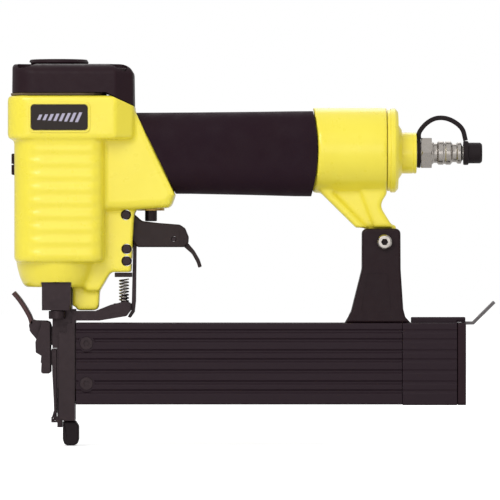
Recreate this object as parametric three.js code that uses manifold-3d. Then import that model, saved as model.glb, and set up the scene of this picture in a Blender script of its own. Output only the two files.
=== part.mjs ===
// Pneumatic brad nailer, in millimetres. +Z points from the workpiece up to the cap, +X from the
// nose to the air inlet, and y = 0 is the tool's middle plane. The origin is the middle of the flat
// underside of the no-mar tip, the point that is set on the work.
import * as THREE from "three";
import { mergeVertices } from "three/addons/utils/BufferGeometryUtils.js";
import Module from "manifold-3d";

const wasm = await Module();
wasm.setup();

// ---- driving dimensions -------------------------------------------------------------------------
const GAP = 0.3; // between pieces that touch
const CYLINDER_X = -5.6; // axis of the cylinder, piston and driver
const BLADE_REST = 57.5; // tip of the driver blade before a shot
const STROKE = 51;

const HEAD = { x0: -30.5, x1: 32.5, z0: 152.5, z1: 174.2, half: 27 };
const BARREL = { x0: -27.4, x1: 17.5, z0: 91.5, half: 25 };
const VENT = { half: 7, z0: 135, z1: 145.6, seam: 140.3 };
const FLOOR = { z0: 79, z1: 86 }; // the casting's floor under the cylinder
const BORE_R = 18.2;
const SLEEVE = { r0: 13.5, r1: 15.5, z1: 156 };
const CAP = { z0: 175.8, z1: 190, half: 26.5 };
const CAP_SCREWS = [[-21, -19], [-21, 19], [24.5, -19], [24.5, 19]];

const HANDLE_Z = 146; // axis of the air passage in the handle
const GRIP = { z0: 125.2, z1: 166.6, half: 18, x1: 122.2 };
const CORE = { z0: 128.2, z1: 163.6, half: 15 };
const REAR = { x0: 122.5, x1: 158.2, r: 21.25, z: 147.25 };
const SCREW_HOLE = { x: 157, z: 101.5 }; // arm to bracket

const TRIGGER_PIN = { x: 28.2, z: 115 };
const GUIDE_PINS = [98, 92];
const GUIDE_X = 28.5;
const EARS = { inner: 8.3, outer: 12 };
const VALVE = { x: 40.5, r: 6.7, z0: 117.2, z1: 133 };
const IDLER_PIN = { x: 52, z: 103 };

const NOSE = { half: 8.5, front: -6.2, back: 3 };
const LIP = { y0: 15.6, y1: 17.2, z1: 81.3 }; // the nose flange's lips over the casting's collar
const DOOR_PIN = { x: -7.9, z: 12.8 };
const LATCH_PIN = { x: -12, z: 54.3 };
const BAIL_EYE = { x: -12, z: 59.5 };
const BAIL_BAR = { x: -11.8, z: 38.2 };

const MAGAZINE = { x0: 3.3, x1: 165.7, z0: 20.5, z1: 61.2, half: 12 };
const RAIL = { half: 8.1, z0: 24.5, z1: 57.5, x0: 15, x1: 192 };
const RELEASE_PIN = { x: 195.6, z: 57.6 };
const BASE_SCREW_X = 152.5; // bracket to magazine
const SIDE_SCREWS = { x: 8.5, z: [31, 51] }; // magazine to nose
const ROD_Z = 41;
const NOSE_SCREW = { x: -6, y: 13 };

const TURN = Math.PI * 2;

// ---- shape helpers ------------------------------------------------------------------------------
const outline = (...points) => new THREE.Shape(points.map(([u, v]) => new THREE.Vector2(u, v)));

function arcPoints(u, v, r, from, to, steps) {
  const points = [];
  for (let i = 0; i <= steps; i++) {
    const a = THREE.MathUtils.degToRad(from + ((to - from) * i) / steps);
    points.push([u + r * Math.cos(a), v + r * Math.sin(a)]);
  }
  return points;
}

function disc(u, v, r, steps = 20) {
  return outline(...arcPoints(u, v, r, 0, 360, steps).slice(0, -1));
}

function roundedBox(u0, u1, v0, v1, r, steps = 3) {
  return outline(
    ...arcPoints(u1 - r, v1 - r, r, 0, 90, steps),
    ...arcPoints(u0 + r, v1 - r, r, 90, 180, steps),
    ...arcPoints(u0 + r, v0 + r, r, 180, 270, steps),
    ...arcPoints(u1 - r, v0 + r, r, 270, 360, steps),
  );
}

function extruded(shape, depth, bevel, bevelSegments) {
  const geometry = new THREE.ExtrudeGeometry(shape, {
    depth: depth - 2 * bevel,
    bevelEnabled: bevel > 0,
    bevelThickness: bevel,
    bevelSize: bevel,
    bevelOffset: -bevel,
    bevelSegments,
    curveSegments: 8,
  });
  return geometry.translate(0, 0, bevel);
}

// an outline in X and Z, given a thickness along Y
function side(shape, y0, y1, bevel = 0, bevelSegments = 2) {
  return extruded(shape, y1 - y0, bevel, bevelSegments).rotateX(Math.PI / 2).translate(0, y1, 0);
}

// an outline in X and Y, raised along Z
function plan(shape, z0, z1, bevel = 0, bevelSegments = 2) {
  return extruded(shape, z1 - z0, bevel, bevelSegments).translate(0, 0, z0);
}

// an outline in Y and Z, run along X
function across(shape, x0, x1, bevel = 0, bevelSegments = 2) {
  const turn = new THREE.Matrix4().makeBasis(
    new THREE.Vector3(0, 1, 0),
    new THREE.Vector3(0, 0, 1),
    new THREE.Vector3(1, 0, 0),
  );
  return extruded(shape, x1 - x0, bevel, bevelSegments).applyMatrix4(turn).translate(x0, 0, 0);
}

function block(x0, x1, y0, y1, z0, z1) {
  const geometry = new THREE.BoxGeometry(x1 - x0, y1 - y0, z1 - z0);
  return geometry.translate((x0 + x1) / 2, (y0 + y1) / 2, (z0 + z1) / 2);
}

function rod(from, to, r, sides = 16) {
  const a = new THREE.Vector3(...from);
  const b = new THREE.Vector3(...to);
  const geometry = new THREE.CylinderGeometry(r, r, a.distanceTo(b), sides);
  const turn = new THREE.Quaternion().setFromUnitVectors(
    new THREE.Vector3(0, 1, 0),
    b.clone().sub(a).normalize(),
  );
  return geometry.applyQuaternion(turn).translate(...a.add(b).multiplyScalar(0.5).toArray());
}

// bars and holes along Y, the second one centred on the middle plane
const alongY = (x, z, y0, y1, r, sides = 16) => rod([x, y0, z], [x, y1, z], r, sides);
const crosswise = (x, z, half, r, sides = 16) => alongY(x, z, -half, half, r, sides);

// an upright round hole or bar
const upright = (x, y, z0, z1, r, sides = 12) => rod([x, y, z0], [x, y, z1], r, sides);

// a closed profile of [radius, height] pairs, turned round a vertical axis at x
function turned(profile, x, sides = 28) {
  const points = profile.map(([r, z]) => new THREE.Vector2(r, z));
  if (profile[0][0] > 0) points.push(points[0].clone());
  return new THREE.LatheGeometry(points, sides).rotateX(Math.PI / 2).translate(x, 0, 0);
}

// the same, round an axis along X at height z: pairs are [radius, x]
function turnedAlongX(profile, z, sides = 28) {
  return turned(profile, 0, sides).rotateY(Math.PI / 2).translate(0, 0, z);
}

class Helix extends THREE.Curve {
  constructor(radius, length, turns) {
    super();
    Object.assign(this, { radius, length, turns });
  }
  getPoint(t, target = new THREE.Vector3()) {
    const a = t * this.turns * TURN;
    return target.set(this.radius * Math.cos(a), this.radius * Math.sin(a), t * this.length);
  }
}

// a compression spring of square-drawn wire, its foot on z = 0
function coil(radius, wire, length, turns, stepsPerTurn = 6) {
  const path = new Helix(radius, length - 1.4 * wire, turns);
  const geometry = new THREE.ExtrudeGeometry(disc(0, 0, wire / 2, 4), {
    steps: Math.round(turns * stepsPerTurn),
    extrudePath: path,
  });
  return geometry.translate(0, 0, 0.7 * wire);
}

function solid(geometry) {
  const shape = geometry.clone();
  shape.deleteAttribute("normal");
  shape.deleteAttribute("uv");
  const merged = mergeVertices(shape, 1e-4);
  const corners = merged.index.array;
  const used = [];
  for (let i = 0; i < corners.length; i += 3) {
    const [a, b, c] = [corners[i], corners[i + 1], corners[i + 2]];
    if (a !== b && b !== c && a !== c) used.push(a, b, c);
  }
  const mesh = new wasm.Mesh({
    numProp: 3,
    vertProperties: Float32Array.from(merged.attributes.position.array),
    triVerts: Uint32Array.from(used),
  });
  return new wasm.Manifold(mesh);
}

function geometryOf(manifold) {
  const mesh = manifold.getMesh();
  const geometry = new THREE.BufferGeometry();
  geometry.setAttribute("position", new THREE.BufferAttribute(mesh.vertProperties, 3));
  geometry.setIndex(new THREE.BufferAttribute(mesh.triVerts, 1));
  return geometry;
}

// joins the geometries in the first list and cuts away those in the second
function built(joined, cut = []) {
  let result = solid(joined[0]);
  for (const piece of joined.slice(1)) result = result.add(solid(piece));
  for (const piece of cut) result = result.subtract(solid(piece));
  return result;
}

// ---- finishes -----------------------------------------------------------------------------------
const finish = (color, roughness, metalness) => ({ color, roughness, metalness });
const YELLOW = finish(0xf2de3e, 0.35, 0);
const BLACK_PLASTIC = finish(0x2b2226, 0.5, 0);
const BLACK_RUBBER = finish(0x272026, 0.8, 0);
const BLACK_ALUMINIUM = finish(0x2c2329, 0.4, 0.6);
const BLACK_STEEL = finish(0x33292b, 0.4, 0.8);
const BRONZED_STEEL = finish(0x5a4446, 0.4, 0.8);
const BRIGHT_STEEL = finish(0xa39c97, 0.25, 1);
const BARE_ALUMINIUM = finish(0xb9bbbd, 0.4, 1);
const BRASS = finish(0xb08d4a, 0.35, 1);
const AMBER_RUBBER = finish(0x7c4a22, 0.7, 0);
const GASKET_PAPER = finish(0x6a5b46, 0.9, 0);

const tool = new THREE.Group();

function place(name, shape, surface) {
  const geometry = shape.isBufferGeometry ? shape : geometryOf(shape);
  const mesh = new THREE.Mesh(geometry, new THREE.MeshStandardMaterial(surface));
  mesh.name = name;
  tool.add(mesh);
}

// ---- housing: one aluminium casting -------------------------------------------------------------
// cylinder block, web, handle core, rear barrel, arm, trigger ears and lower boss
const web = outline([10, 166.4], [33, 166.4], [52.8, 124.8], [50.5, 118.6], [32, 117.5], [10, 117]);
const arm = outline(
  [125, 132],
  [158, 132],
  [157.5, 125],
  [155.6, 119],
  [161, 108.6],
  [143, 108.6],
  [125.5, 125.5],
);
const ears = outline(
  [12, 121],
  [33, 121],
  [32.4, 116],
  [30.6, 86.5],
  [20.5, 86.5],
  [15, 77],
  [8, 77],
  [8, 100],
);
const capSlope = outline([19, 180], [40, 180], [40, 165.4], [32.8, 168.7], [19, 174.9]);

const collar = new THREE.CylinderGeometry(17, 23, 13, 28).rotateX(-Math.PI / 2);
collar.scale(1, 1.06, 1).translate(CYLINDER_X, 0, FLOOR.z0 + 6.5);

function housing() {
  const screwHoles = CAP_SCREWS.map(([x, y]) => upright(x, y, 158, 176, 2.6));
  const noseHoles = [-1, 1].map((s) => upright(NOSE_SCREW.x, s * NOSE_SCREW.y, 78, 85, 2.6));
  const pinHoles = GUIDE_PINS.map((z) => crosswise(GUIDE_X, z, 13, 2.6));
  return built(
    [
      plan(roundedBox(HEAD.x0, HEAD.x1, -HEAD.half, HEAD.half, 11), HEAD.z0, HEAD.z1, 1.5, 1),
      plan(roundedBox(BARREL.x0, BARREL.x1, -BARREL.half, BARREL.half, 15), BARREL.z0, 153),
      collar,
      side(web, -17, 17, 5),
      across(roundedBox(-CORE.half, CORE.half, CORE.z0, CORE.z1, 12), 25, 124),
      rod([REAR.x0, 0, REAR.z], [REAR.x1, 0, REAR.z], REAR.r, 32),
      side(arm, -9, 9, 2, 1),
      block(148, 163, -5.2, 5.2, 93, 110),
      side(ears, -EARS.outer, EARS.outer, 1.5, 1),
      block(1.3, 15, -8.3, 8.3, 69.5, 82),
      block(NOSE.back + 0.4, 15, -8.3, 8.3, 67.4, 70),
    ],
    [
      rod([CYLINDER_X, 0, FLOOR.z1], [CYLINDER_X, 0, 180], BORE_R, 28),
      rod([CYLINDER_X, 0, 70], [CYLINDER_X, 0, 90], 4.5, 16),
      rod([5, 0, HANDLE_Z], [130, 0, HANDLE_Z], 12, 24),
      rod([128, 0, REAR.z], [162, 0, REAR.z], 17, 32),
      rod([VALVE.x, 0, 110], [VALVE.x, 0, 140], 7, 20),
      block(20, 40, -EARS.inner, EARS.inner, 80, 116.8),
      block(20, 33.2, -EARS.inner, EARS.inner, 80, 120),
      crosswise(TRIGGER_PIN.x, TRIGGER_PIN.z, 14, 2.6),
      crosswise(SCREW_HOLE.x, SCREW_HOLE.z, 10, 3.1),
      side(capSlope, -30, 30),
      block(-14, 1.25, -20, 20, 60, FLOOR.z0),
      block(-14, 1.25, -20, -LIP.y0 + GAP, 70, LIP.z1 + GAP),
      block(-14, 1.25, LIP.y0 - GAP, 20, 70, LIP.z1 + GAP),
      block(-30, BARREL.x0 + 0.6, -VENT.half - GAP, VENT.half + GAP, VENT.z0 - GAP, VENT.z1 + GAP),
      ...screwHoles,
      ...noseHoles,
      ...pinHoles,
    ],
  );
}
place("housing", housing(), YELLOW);

place("label_plate", side(roundedBox(-18.5, 9.5, 157, 169.5, 3), -28.2, -27.3), BLACK_PLASTIC);

// two louvres over the breather in the front of the barrel
place(
  "front_vent",
  built(
    [block(BARREL.x0 - 1.6, BARREL.x0 + 0.3, -VENT.half, VENT.half, VENT.z0, VENT.z1)],
    [block(BARREL.x0 - 2, BARREL.x0 - 0.6, -VENT.half - 1, VENT.half + 1, VENT.seam - 0.4, VENT.seam + 0.4)],
  ),
  BLACK_PLASTIC,
);

// ---- cap, exhaust deflector and head valve ------------------------------------------------------
function topCap() {
  const shell = plan(roundedBox(-28.5, 32.3, -CAP.half, CAP.half, 12, 5), 160, CAP.z1, 4, 3);
  const under = outline([-40, 150], [40, 150], [40, 165.8], [32.8, 169.1], [18.4, CAP.z0], [-40, CAP.z0]);
  const pockets = CAP_SCREWS.map(([x, y]) => upright(x, y, 183, 196, 4.6, 14));
  const holes = CAP_SCREWS.map(([x, y]) => upright(x, y, 160, 190, 2.6));
  return built(
    [shell],
    [
      side(under, -40, 40),
      upright(CYLINDER_X, 0, 165, 184, 17, 32),
      upright(CYLINDER_X, 0, 180, 195, 2.4),
      upright(CYLINDER_X + 9, 0, 180, 195, 3.5),
      ...pockets,
      ...holes,
    ],
  );
}
place("top_cap", topCap(), BLACK_PLASTIC);

CAP_SCREWS.forEach(([x, y], i) => {
  const screw = built(
    [upright(x, y, 160, 184, 2.3), upright(x, y, 183.3, 188, 4.2, 14)],
    [upright(x, y, 185.5, 189, 2.2, 6)],
  );
  place(`cap_screw_${i + 1}`, screw, BLACK_STEEL);
});

const gasketHoles = CAP_SCREWS.filter(([x]) => x < 0).map(([x, y]) => upright(x, y, 170, 180, 2.7));
place(
  "cap_gasket",
  built(
    [plan(roundedBox(-29, 18, -25, 25, 11), 174.5, 175.5)],
    [upright(CYLINDER_X, 0, 170, 180, 18.4, 32), ...gasketHoles],
  ),
  GASKET_PAPER,
);

// a shallow turned hood with one open mouth, so that the exhaust can be aimed, on a sunk screw
const hood = [
  [0, 190.3],
  [6, 190.3],
  [6, 191.4],
  [12, 191.4],
  [12, 190.3],
  [14.4, 190.3],
  [15, 191],
  [14.2, 192.6],
  [0, 192.6],
];
place(
  "exhaust_deflector",
  built(
    [turned(hood, CYLINDER_X)],
    [
      upright(CYLINDER_X, 0, 189, 194, 2.6),
      upright(CYLINDER_X, 0, 191.2, 194, 4.4, 16),
      block(CYLINDER_X - 20, CYLINDER_X - 6, -5, 5, 189, 191.4),
    ],
  ),
  BLACK_PLASTIC,
);
place(
  "deflector_screw",
  built(
    [upright(CYLINDER_X, 0, 184.5, 191.6, 2), upright(CYLINDER_X, 0, 191.5, 192.5, 4, 16)],
    [upright(CYLINDER_X, 0, 191.9, 193, 1.7, 6)],
  ),
  BLACK_STEEL,
);

const headValve = [
  [0, 165],
  [14, 165],
  [14, 156.3],
  [17.7, 156.3],
  [17.7, 169],
  [6, 169],
  [5, 172],
  [0, 172],
];
place("head_valve", turned(headValve, CYLINDER_X), BARE_ALUMINIUM);
place("head_valve_spring", coil(8.5, 1.6, 14.4, 4).translate(CYLINDER_X, 0, 169.3), BRIGHT_STEEL);

// ---- cylinder, piston and driver ----------------------------------------------------------------
place(
  "cylinder_sleeve",
  turned(
    [
      [SLEEVE.r0, FLOOR.z1 + GAP],
      [SLEEVE.r1, FLOOR.z1 + GAP],
      [SLEEVE.r1, 118],
      [17.8, 118],
      [17.8, 123],
      [SLEEVE.r1, 123],
      [SLEEVE.r1, SLEEVE.z1],
      [SLEEVE.r0, SLEEVE.z1],
    ],
    CYLINDER_X,
    32,
  ),
  BARE_ALUMINIUM,
);
place(
  "bumper",
  turned([[4.6, FLOOR.z1 + GAP], [13.1, FLOOR.z1 + GAP], [13.1, 91], [10.5, 95], [4.6, 95]], CYLINDER_X, 24),
  AMBER_RUBBER,
);

const PISTON_Z0 = 95.3 + STROKE;
place(
  "piston",
  built(
    [
      turned(
        [
          [0, PISTON_Z0 - 5],
          [3.8, PISTON_Z0 - 5],
          [3.8, PISTON_Z0],
          [13.1, PISTON_Z0],
          [13.1, PISTON_Z0 + 3],
          [11.3, PISTON_Z0 + 3],
          [11.3, PISTON_Z0 + 5.2],
          [13.1, PISTON_Z0 + 5.2],
          [13.1, PISTON_Z0 + 8],
          [0, PISTON_Z0 + 8],
        ],
        CYLINDER_X,
        24,
      ),
    ],
    [block(CYLINDER_X - 0.9, CYLINDER_X + 0.9, -2.2, 2.2, PISTON_Z0 - 6, PISTON_Z0)],
  ),
  BARE_ALUMINIUM,
);
place(
  "piston_ring",
  new THREE.TorusGeometry(12.4, 0.8, 6, 24).translate(CYLINDER_X, 0, PISTON_Z0 + 4.1),
  BLACK_RUBBER,
);
place(
  "driver_blade",
  block(CYLINDER_X - 0.6, CYLINDER_X + 0.6, -1.9, 1.9, BLADE_REST, PISTON_Z0 - GAP),
  BRIGHT_STEEL,
);

// ---- handle: grip, end cap, air plug, dust cap --------------------------------------------------
place(
  "grip_sleeve",
  (() => {
    const body = across(roundedBox(-GRIP.half, GRIP.half, GRIP.z0, GRIP.z1, 14, 6), 25, GRIP.x1);
    const bore = across(
      roundedBox(-CORE.half - GAP, CORE.half + GAP, CORE.z0 - GAP, CORE.z1 + GAP, 12.3),
      20,
      130,
    );
    const before = outline([0, 200], [16.6, 200], [53.4, 124.6], [66, 98], [0, 98]);
    return built([body], [bore, side(before, -40, 40)]);
  })(),
  BLACK_RUBBER,
);

const endCap = [
  [0, 150],
  [16.6, 150],
  [16.6, 158.5],
  [20.3, 158.5],
  [20.3, 160],
  [21, 160.2],
  [21, 162.5],
  [19.6, 164],
  [0, 164],
];
place(
  "handle_end_cap",
  built(
    [
      turnedAlongX(endCap, REAR.z, 32),
      rod([163, 0, HANDLE_Z], [173.2, 0, HANDLE_Z], 10.25, 24),
    ],
    [rod([140, 0, HANDLE_Z], [180, 0, HANDLE_Z], 6, 16)],
  ),
  YELLOW,
);

place(
  "air_plug",
  built(
    [
      turnedAlongX(
        [
          [0, 156],
          [5.6, 156],
          [5.6, 175.6],
          [5.6, 181.2],
          [5, 182],
          [5, 183.4],
          [5.9, 184.2],
          [5.9, 190.2],
          [4.6, 191.2],
          [4.6, 193],
          [5.4, 193.8],
          [5.4, 195.4],
          [3.6, 196],
          [3.6, 203],
          [0, 203],
        ],
        HANDLE_Z,
        20,
      ),
      rod([175.6, 0, HANDLE_Z], [180.8, 0, HANDLE_Z], 8.6, 6),
    ],
    [rod([150, 0, HANDLE_Z], [210, 0, HANDLE_Z], 2.5, 12)],
  ),
  BRIGHT_STEEL,
);

const dustCap = [
  [4.1, 196.6],
  [6, 196.6],
  [6, 199],
  [5.2, 199.3],
  [5.2, 205],
  [4.6, 206],
  [0, 206],
  [0, 203.6],
  [4.1, 203.6],
];
place("dust_cap", turnedAlongX(dustCap, HANDLE_Z, 20), BLACK_RUBBER);

function tether() {
  const route = new THREE.CatmullRomCurve3(
    [
      [174.4, 153],
      [174.7, 156.4],
      [178, 160.6],
      [182.5, 163.2],
      [187.5, 163.4],
      [192.4, 161.4],
      [196.2, 157.8],
      [197.8, 152.6],
    ].map(([x, z]) => new THREE.Vector3(x, 0, z)),
  );
  const strap = new THREE.ExtrudeGeometry(roundedBox(-0.8, 0.8, -1.3, 1.3, 0.4, 1), {
    steps: 18,
    extrudePath: route,
  });
  return built(
    [rod([173.5, 0, HANDLE_Z], [175.3, 0, HANDLE_Z], 7.4, 20), strap],
    [
      rod([172, 0, HANDLE_Z], [178, 0, HANDLE_Z], 5.9, 20),
      block(170, 173.5, -2, 2, 145, 155),
      rod([175.3, 0, HANDLE_Z], [184, 0, HANDLE_Z], 9, 6),
    ],
  );
}
place("dust_cap_tether", tether(), BLACK_RUBBER);

// ---- trigger valve and trigger ------------------------------------------------------------------
place(
  "valve_body",
  turned(
    [[3.3, VALVE.z0], [VALVE.r, VALVE.z0], [VALVE.r, VALVE.z1], [1.4, VALVE.z1], [1.4, 131.8], [3.3, 131.8]],
    VALVE.x,
    20,
  ),
  BRASS,
);
const stem = [[0, 111.9], [2.6, 111.9], [3, 112.3], [3, 124], [0, 124]];
place("valve_stem", turned(stem, VALVE.x, 16), BRIGHT_STEEL);
place("valve_spring", coil(2.3, 0.7, 7.2, 4).translate(VALVE.x, 0, 124.3), BRIGHT_STEEL);

const TRIGGER_HALF = 7.4;
const triggerWalls = outline(
  [25, 112.5],
  [26.5, 108],
  [33.8, 98.9],
  [57.2, 98.9],
  [59.2, 100.9],
  [59.4, 104],
  [57.6, 108.4],
  [55, 110.2],
  [44.5, 111],
  [36, 112],
  [33, 114],
  [31, 116.5],
);
const triggerTail = outline(
  [56, 100.8],
  [57.2, 98.9],
  [61, 95.6],
  [63.4, 91.2],
  [64.2, 88.6],
  [65.9, 89.2],
  [64.9, 92.6],
  [62.2, 97.2],
  [59, 101],
);
function triggerShape() {
  const { x, z } = TRIGGER_PIN;
  return built(
    [
      side(triggerWalls, -TRIGGER_HALF, TRIGGER_HALF),
      crosswise(x, z, TRIGGER_HALF, 4.2, 18),
      side(triggerTail, -5.5, 5.5),
    ],
    [
      block(20, 56.6, -5.3, 5.3, 100.3, 125),
      block(20, 34.4, -5.3, 5.3, 90, 125),
      crosswise(x, z, 9, 2.6),
      crosswise(IDLER_PIN.x, IDLER_PIN.z, 9, 1.5, 12),
    ],
  );
}
place("trigger", triggerShape(), BLACK_PLASTIC);

place("trigger_pin", crosswise(TRIGGER_PIN.x, TRIGGER_PIN.z, 12.3, 2.3), BLACK_STEEL);
place("guide_pin_upper", crosswise(GUIDE_X, GUIDE_PINS[0], 12.3, 2.3), BLACK_STEEL);
place("guide_pin_lower", crosswise(GUIDE_X, GUIDE_PINS[1], 12.3, 2.3), BLACK_STEEL);

// the idler is lifted by the safety rod at its free end and turns about its pin in the trigger
const idler = outline(
  [30.6, 108.2],
  [30.6, 109.6],
  [33.6, 109.6],
  [35.8, 106.8],
  [42.5, 105.8],
  [54, 104.6],
  [54, 101.4],
  [50, 101.6],
  [35.6, 104.9],
  [33.8, 108.2],
);
place(
  "trigger_idler",
  built([side(idler, -3.6, 3.6)], [crosswise(IDLER_PIN.x, IDLER_PIN.z, 9, 1.5, 12)]),
  BRIGHT_STEEL,
);
place("idler_pin", crosswise(IDLER_PIN.x, IDLER_PIN.z, 7.2, 1.2, 12), BLACK_STEEL);

// ---- safety: contact foot, yoke, rod, spring ----------------------------------------------------
place(
  "spring_plate",
  built(
    [block(22.5, 31, -EARS.inner + GAP, EARS.inner - GAP, 84, 86.2)],
    [upright(27, 0, 80, 90, 1.7)],
  ),
  BLACK_STEEL,
);

function safetyYoke() {
  const cheek = outline(
    [-5.2, 13],
    [2.7, 13],
    [2.7, 62.3],
    [15, 62.3],
    [28.3, 64.5],
    [30.2, 67.4],
    [30.2, 71],
    [28, 72],
    [20, 70],
    [12.5, 67],
    [1.4, 67],
    [1.4, 60.9],
    [-1.4, 60.9],
    [-1.4, 56.4],
    [-5.2, 56.4],
  );
  return built(
    [
      side(cheek, -10.3, -8.8),
      side(cheek, 8.8, 10.3),
      side(outline([22, 65.5], [29, 65.5], [30.8, 67.8], [30.8, 70.8], [22, 70.8]), -9, 9),
      block(-3.3, 2.7, -10.3, 10.3, 12.4, 21.8),
      block(-1.4, 1.9, -5, 5, 6.5, 13),
      rod([27, 0, 69], [27, 0, 75.5], 1.3, 12),
    ],
  );
}
place("safety_yoke", safetyYoke(), BLACK_STEEL);
const rodProfile = outline(
  [28.9, 64.1],
  [30.4, 63.6],
  [32.4, 66.6],
  [33, 72],
  [33.4, 107.8],
  [30.8, 107.8],
  [30.8, 106.4],
  [31.8, 106.4],
  [31, 72],
  [30.8, 67.4],
);
place("safety_rod", side(rodProfile, -4.6, 4.6), BLACK_STEEL);
place("safety_spring", coil(2.2, 0.8, 12.2, 6).translate(27, 0, 71.4), BRIGHT_STEEL);
const tip = outline(
  [-3.4, 12.1],
  [-3.4, 3],
  [-2.6, 0.8],
  [-1.2, 0],
  [2.2, 0],
  [3.8, 0.8],
  [4.5, 3],
  [4.5, 9.5],
  [2.9, 12.1],
);
place("no_mar_tip", built([side(tip, -8, 8)], [block(-1.7, 2.2, -5.3, 5.3, 6.2, 14)]), BLACK_RUBBER);

// ---- nose body, quick-release door and latch ----------------------------------------------------
function noseBody() {
  const { x, z } = LATCH_PIN;
  const ear = (y0, y1) => block(-9.2, -6, y0, y1, 11.4, 14.2);
  return built(
    [
      plan(roundedBox(-13.5, 0.9, -LIP.y1, LIP.y1, 1.5, 2), 67.5, FLOOR.z0 - GAP),
      block(-13.5, 0.9, -LIP.y1, -LIP.y0, 70, LIP.z1),
      block(-13.5, 0.9, LIP.y0, LIP.y1, 70, LIP.z1),
      block(-8.5, NOSE.back, -NOSE.half, NOSE.half, 48.6, 68),
      block(NOSE.front, NOSE.back, -NOSE.half, NOSE.half, 28.5, 49),
      block(NOSE.front, -3.8, -5, 5, 9, 29),
      block(2, 14, -RAIL.half, RAIL.half, 24.4, 57.6),
      side(disc(x, z, 5), -4.6, 4.6),
      block(x, -8, -4.6, 4.6, 50, 59.3),
      ear(-5, -3),
      ear(3, 5),
    ],
    [
      block(CYLINDER_X - 0.8, CYLINDER_X + 0.8, -2.1, 2.1, 5, 80),
      block(-7, CYLINDER_X, -2.1, 2.1, 5, 48.6),
      block(CYLINDER_X, 16, -0.8, 0.8, 26.5, 58),
      crosswise(x, z, 6, 1.3, 12),
      crosswise(DOOR_PIN.x, DOOR_PIN.z, 6, 0.9, 10),
      upright(NOSE_SCREW.x, -NOSE_SCREW.y, 66, 80, 2.6),
      upright(NOSE_SCREW.x, NOSE_SCREW.y, 66, 80, 2.6),
      ...SIDE_SCREWS.z.map((height) => alongY(SIDE_SCREWS.x, height, -14, -2.5, 1.8, 10)),
      block(-3.8, NOSE.back + 0.1, -20, 20, 20, 28.5),
    ],
  );
}
place("nose_body", noseBody(), BLACK_STEEL);

[-NOSE_SCREW.y, NOSE_SCREW.y].forEach((y, i) => {
  const screw = built(
    [upright(NOSE_SCREW.x, y, 67.1, 84.5, 2.3), upright(NOSE_SCREW.x, y, 63, 67.2, 4.1, 14)],
    [upright(NOSE_SCREW.x, y, 62, 65.2, 2.2, 6)],
  );
  place(`nose_screw_${i + 1}`, screw, BLACK_STEEL);
});

function noseDoor() {
  const { x, z } = DOOR_PIN;
  const plate = outline([-6.5, 48.2], [-8.9, 48.2], [-8.6, 36], [-7.9, 22.5], [-7.7, 16], [-6.5, 16]);
  const catchLug = outline([-8, 47.5], [-11.5, 47.5], [-14.2, 45], [-14.5, 41.2], [-8, 39.8]);
  return built(
    [
      side(plate, -8, 8),
      side(catchLug, -5, 5),
      side(outline([-9.3, z], [-6.6, z], [-6.6, 17], [-8.1, 17]), -2.6, 2.6),
      crosswise(x, z, 2.6, 1.4, 12),
    ],
    [crosswise(x, z, 6, 0.9, 10)],
  );
}
place("nose_door", noseDoor(), BLACK_STEEL);
place("door_pin", crosswise(DOOR_PIN.x, DOOR_PIN.z, 5.2, 0.7, 10), BRIGHT_STEEL);

function latchLever() {
  const cheek = outline(
    [-10, 51.9],
    [-9.4, 53],
    [-9.2, 60],
    [-11, 62.2],
    [-16.8, 62.4],
    [-19.2, 63],
    [-20.4, 60],
    [-19.6, 56.6],
    [-15.4, 51.6],
    [-12, 51.1],
  );
  const tab = outline(
    [-16.9, 59.2],
    [-16.6, 62.6],
    [-19.6, 65.6],
    [-23, 71],
    [-27.4, 77],
    [-29, 75.6],
    [-25.4, 69.6],
    [-21.8, 64],
    [-20.4, 60],
  );
  return built(
    [side(cheek, -7, -5), side(cheek, 5, 7), side(tab, -7, 7)],
    [crosswise(LATCH_PIN.x, LATCH_PIN.z, 9, 1.4, 12), crosswise(BAIL_EYE.x, BAIL_EYE.z, 9, 1.25, 12)],
  );
}
place("latch_lever", latchLever(), BRONZED_STEEL);
place("latch_pin", crosswise(LATCH_PIN.x, LATCH_PIN.z, 7.6, 1.1, 12), BRIGHT_STEEL);

// two flat links that hang from the lever and carry the bar under the door's lug
function latchBail() {
  const link = { y0: 9, y1: 10.2, half: 2.3 };
  const leg = outline(
    ...arcPoints(BAIL_EYE.x, BAIL_EYE.z, link.half, 0, 180, 6),
    [-17, 51.6],
    [-16.8, 46.4],
    [-13.7, 44.6],
    ...arcPoints(BAIL_BAR.x, BAIL_BAR.z, link.half, 180, 360, 6),
  );
  const eye = (y0, y1) => alongY(BAIL_EYE.x, BAIL_EYE.z, y0, y1, 0.9, 8);
  return built([
    side(leg, link.y0, link.y1),
    side(leg, -link.y1, -link.y0),
    crosswise(BAIL_BAR.x, BAIL_BAR.z, link.y0 + 0.5, 0.9, 8),
    eye(5.3, link.y0 + 0.5),
    eye(-link.y0 - 0.5, -5.3),
  ]);
}
place("latch_bail", latchBail(), BLACK_STEEL);

// ---- magazine -----------------------------------------------------------------------------------
// the outer extrusion's section, with its long grooves along both faces
const GROOVES = [27, 31.5, 37, 42.5, 47, 52.5, 57];
function grooved(half, z0, z1, depth) {
  const floor = half - depth;
  const corner = 0.8;
  const right = [[half - corner, z0], [half, z0 + corner]];
  for (const z of GROOVES) right.push([half, z - 0.9], [floor, z - 0.5], [floor, z + 0.5], [half, z + 0.9]);
  right.push([half, z1 - corner], [half - corner, z1]);
  const left = right.map(([y, z]) => [-y, z]).reverse();
  return outline(...right, ...left);
}

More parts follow.
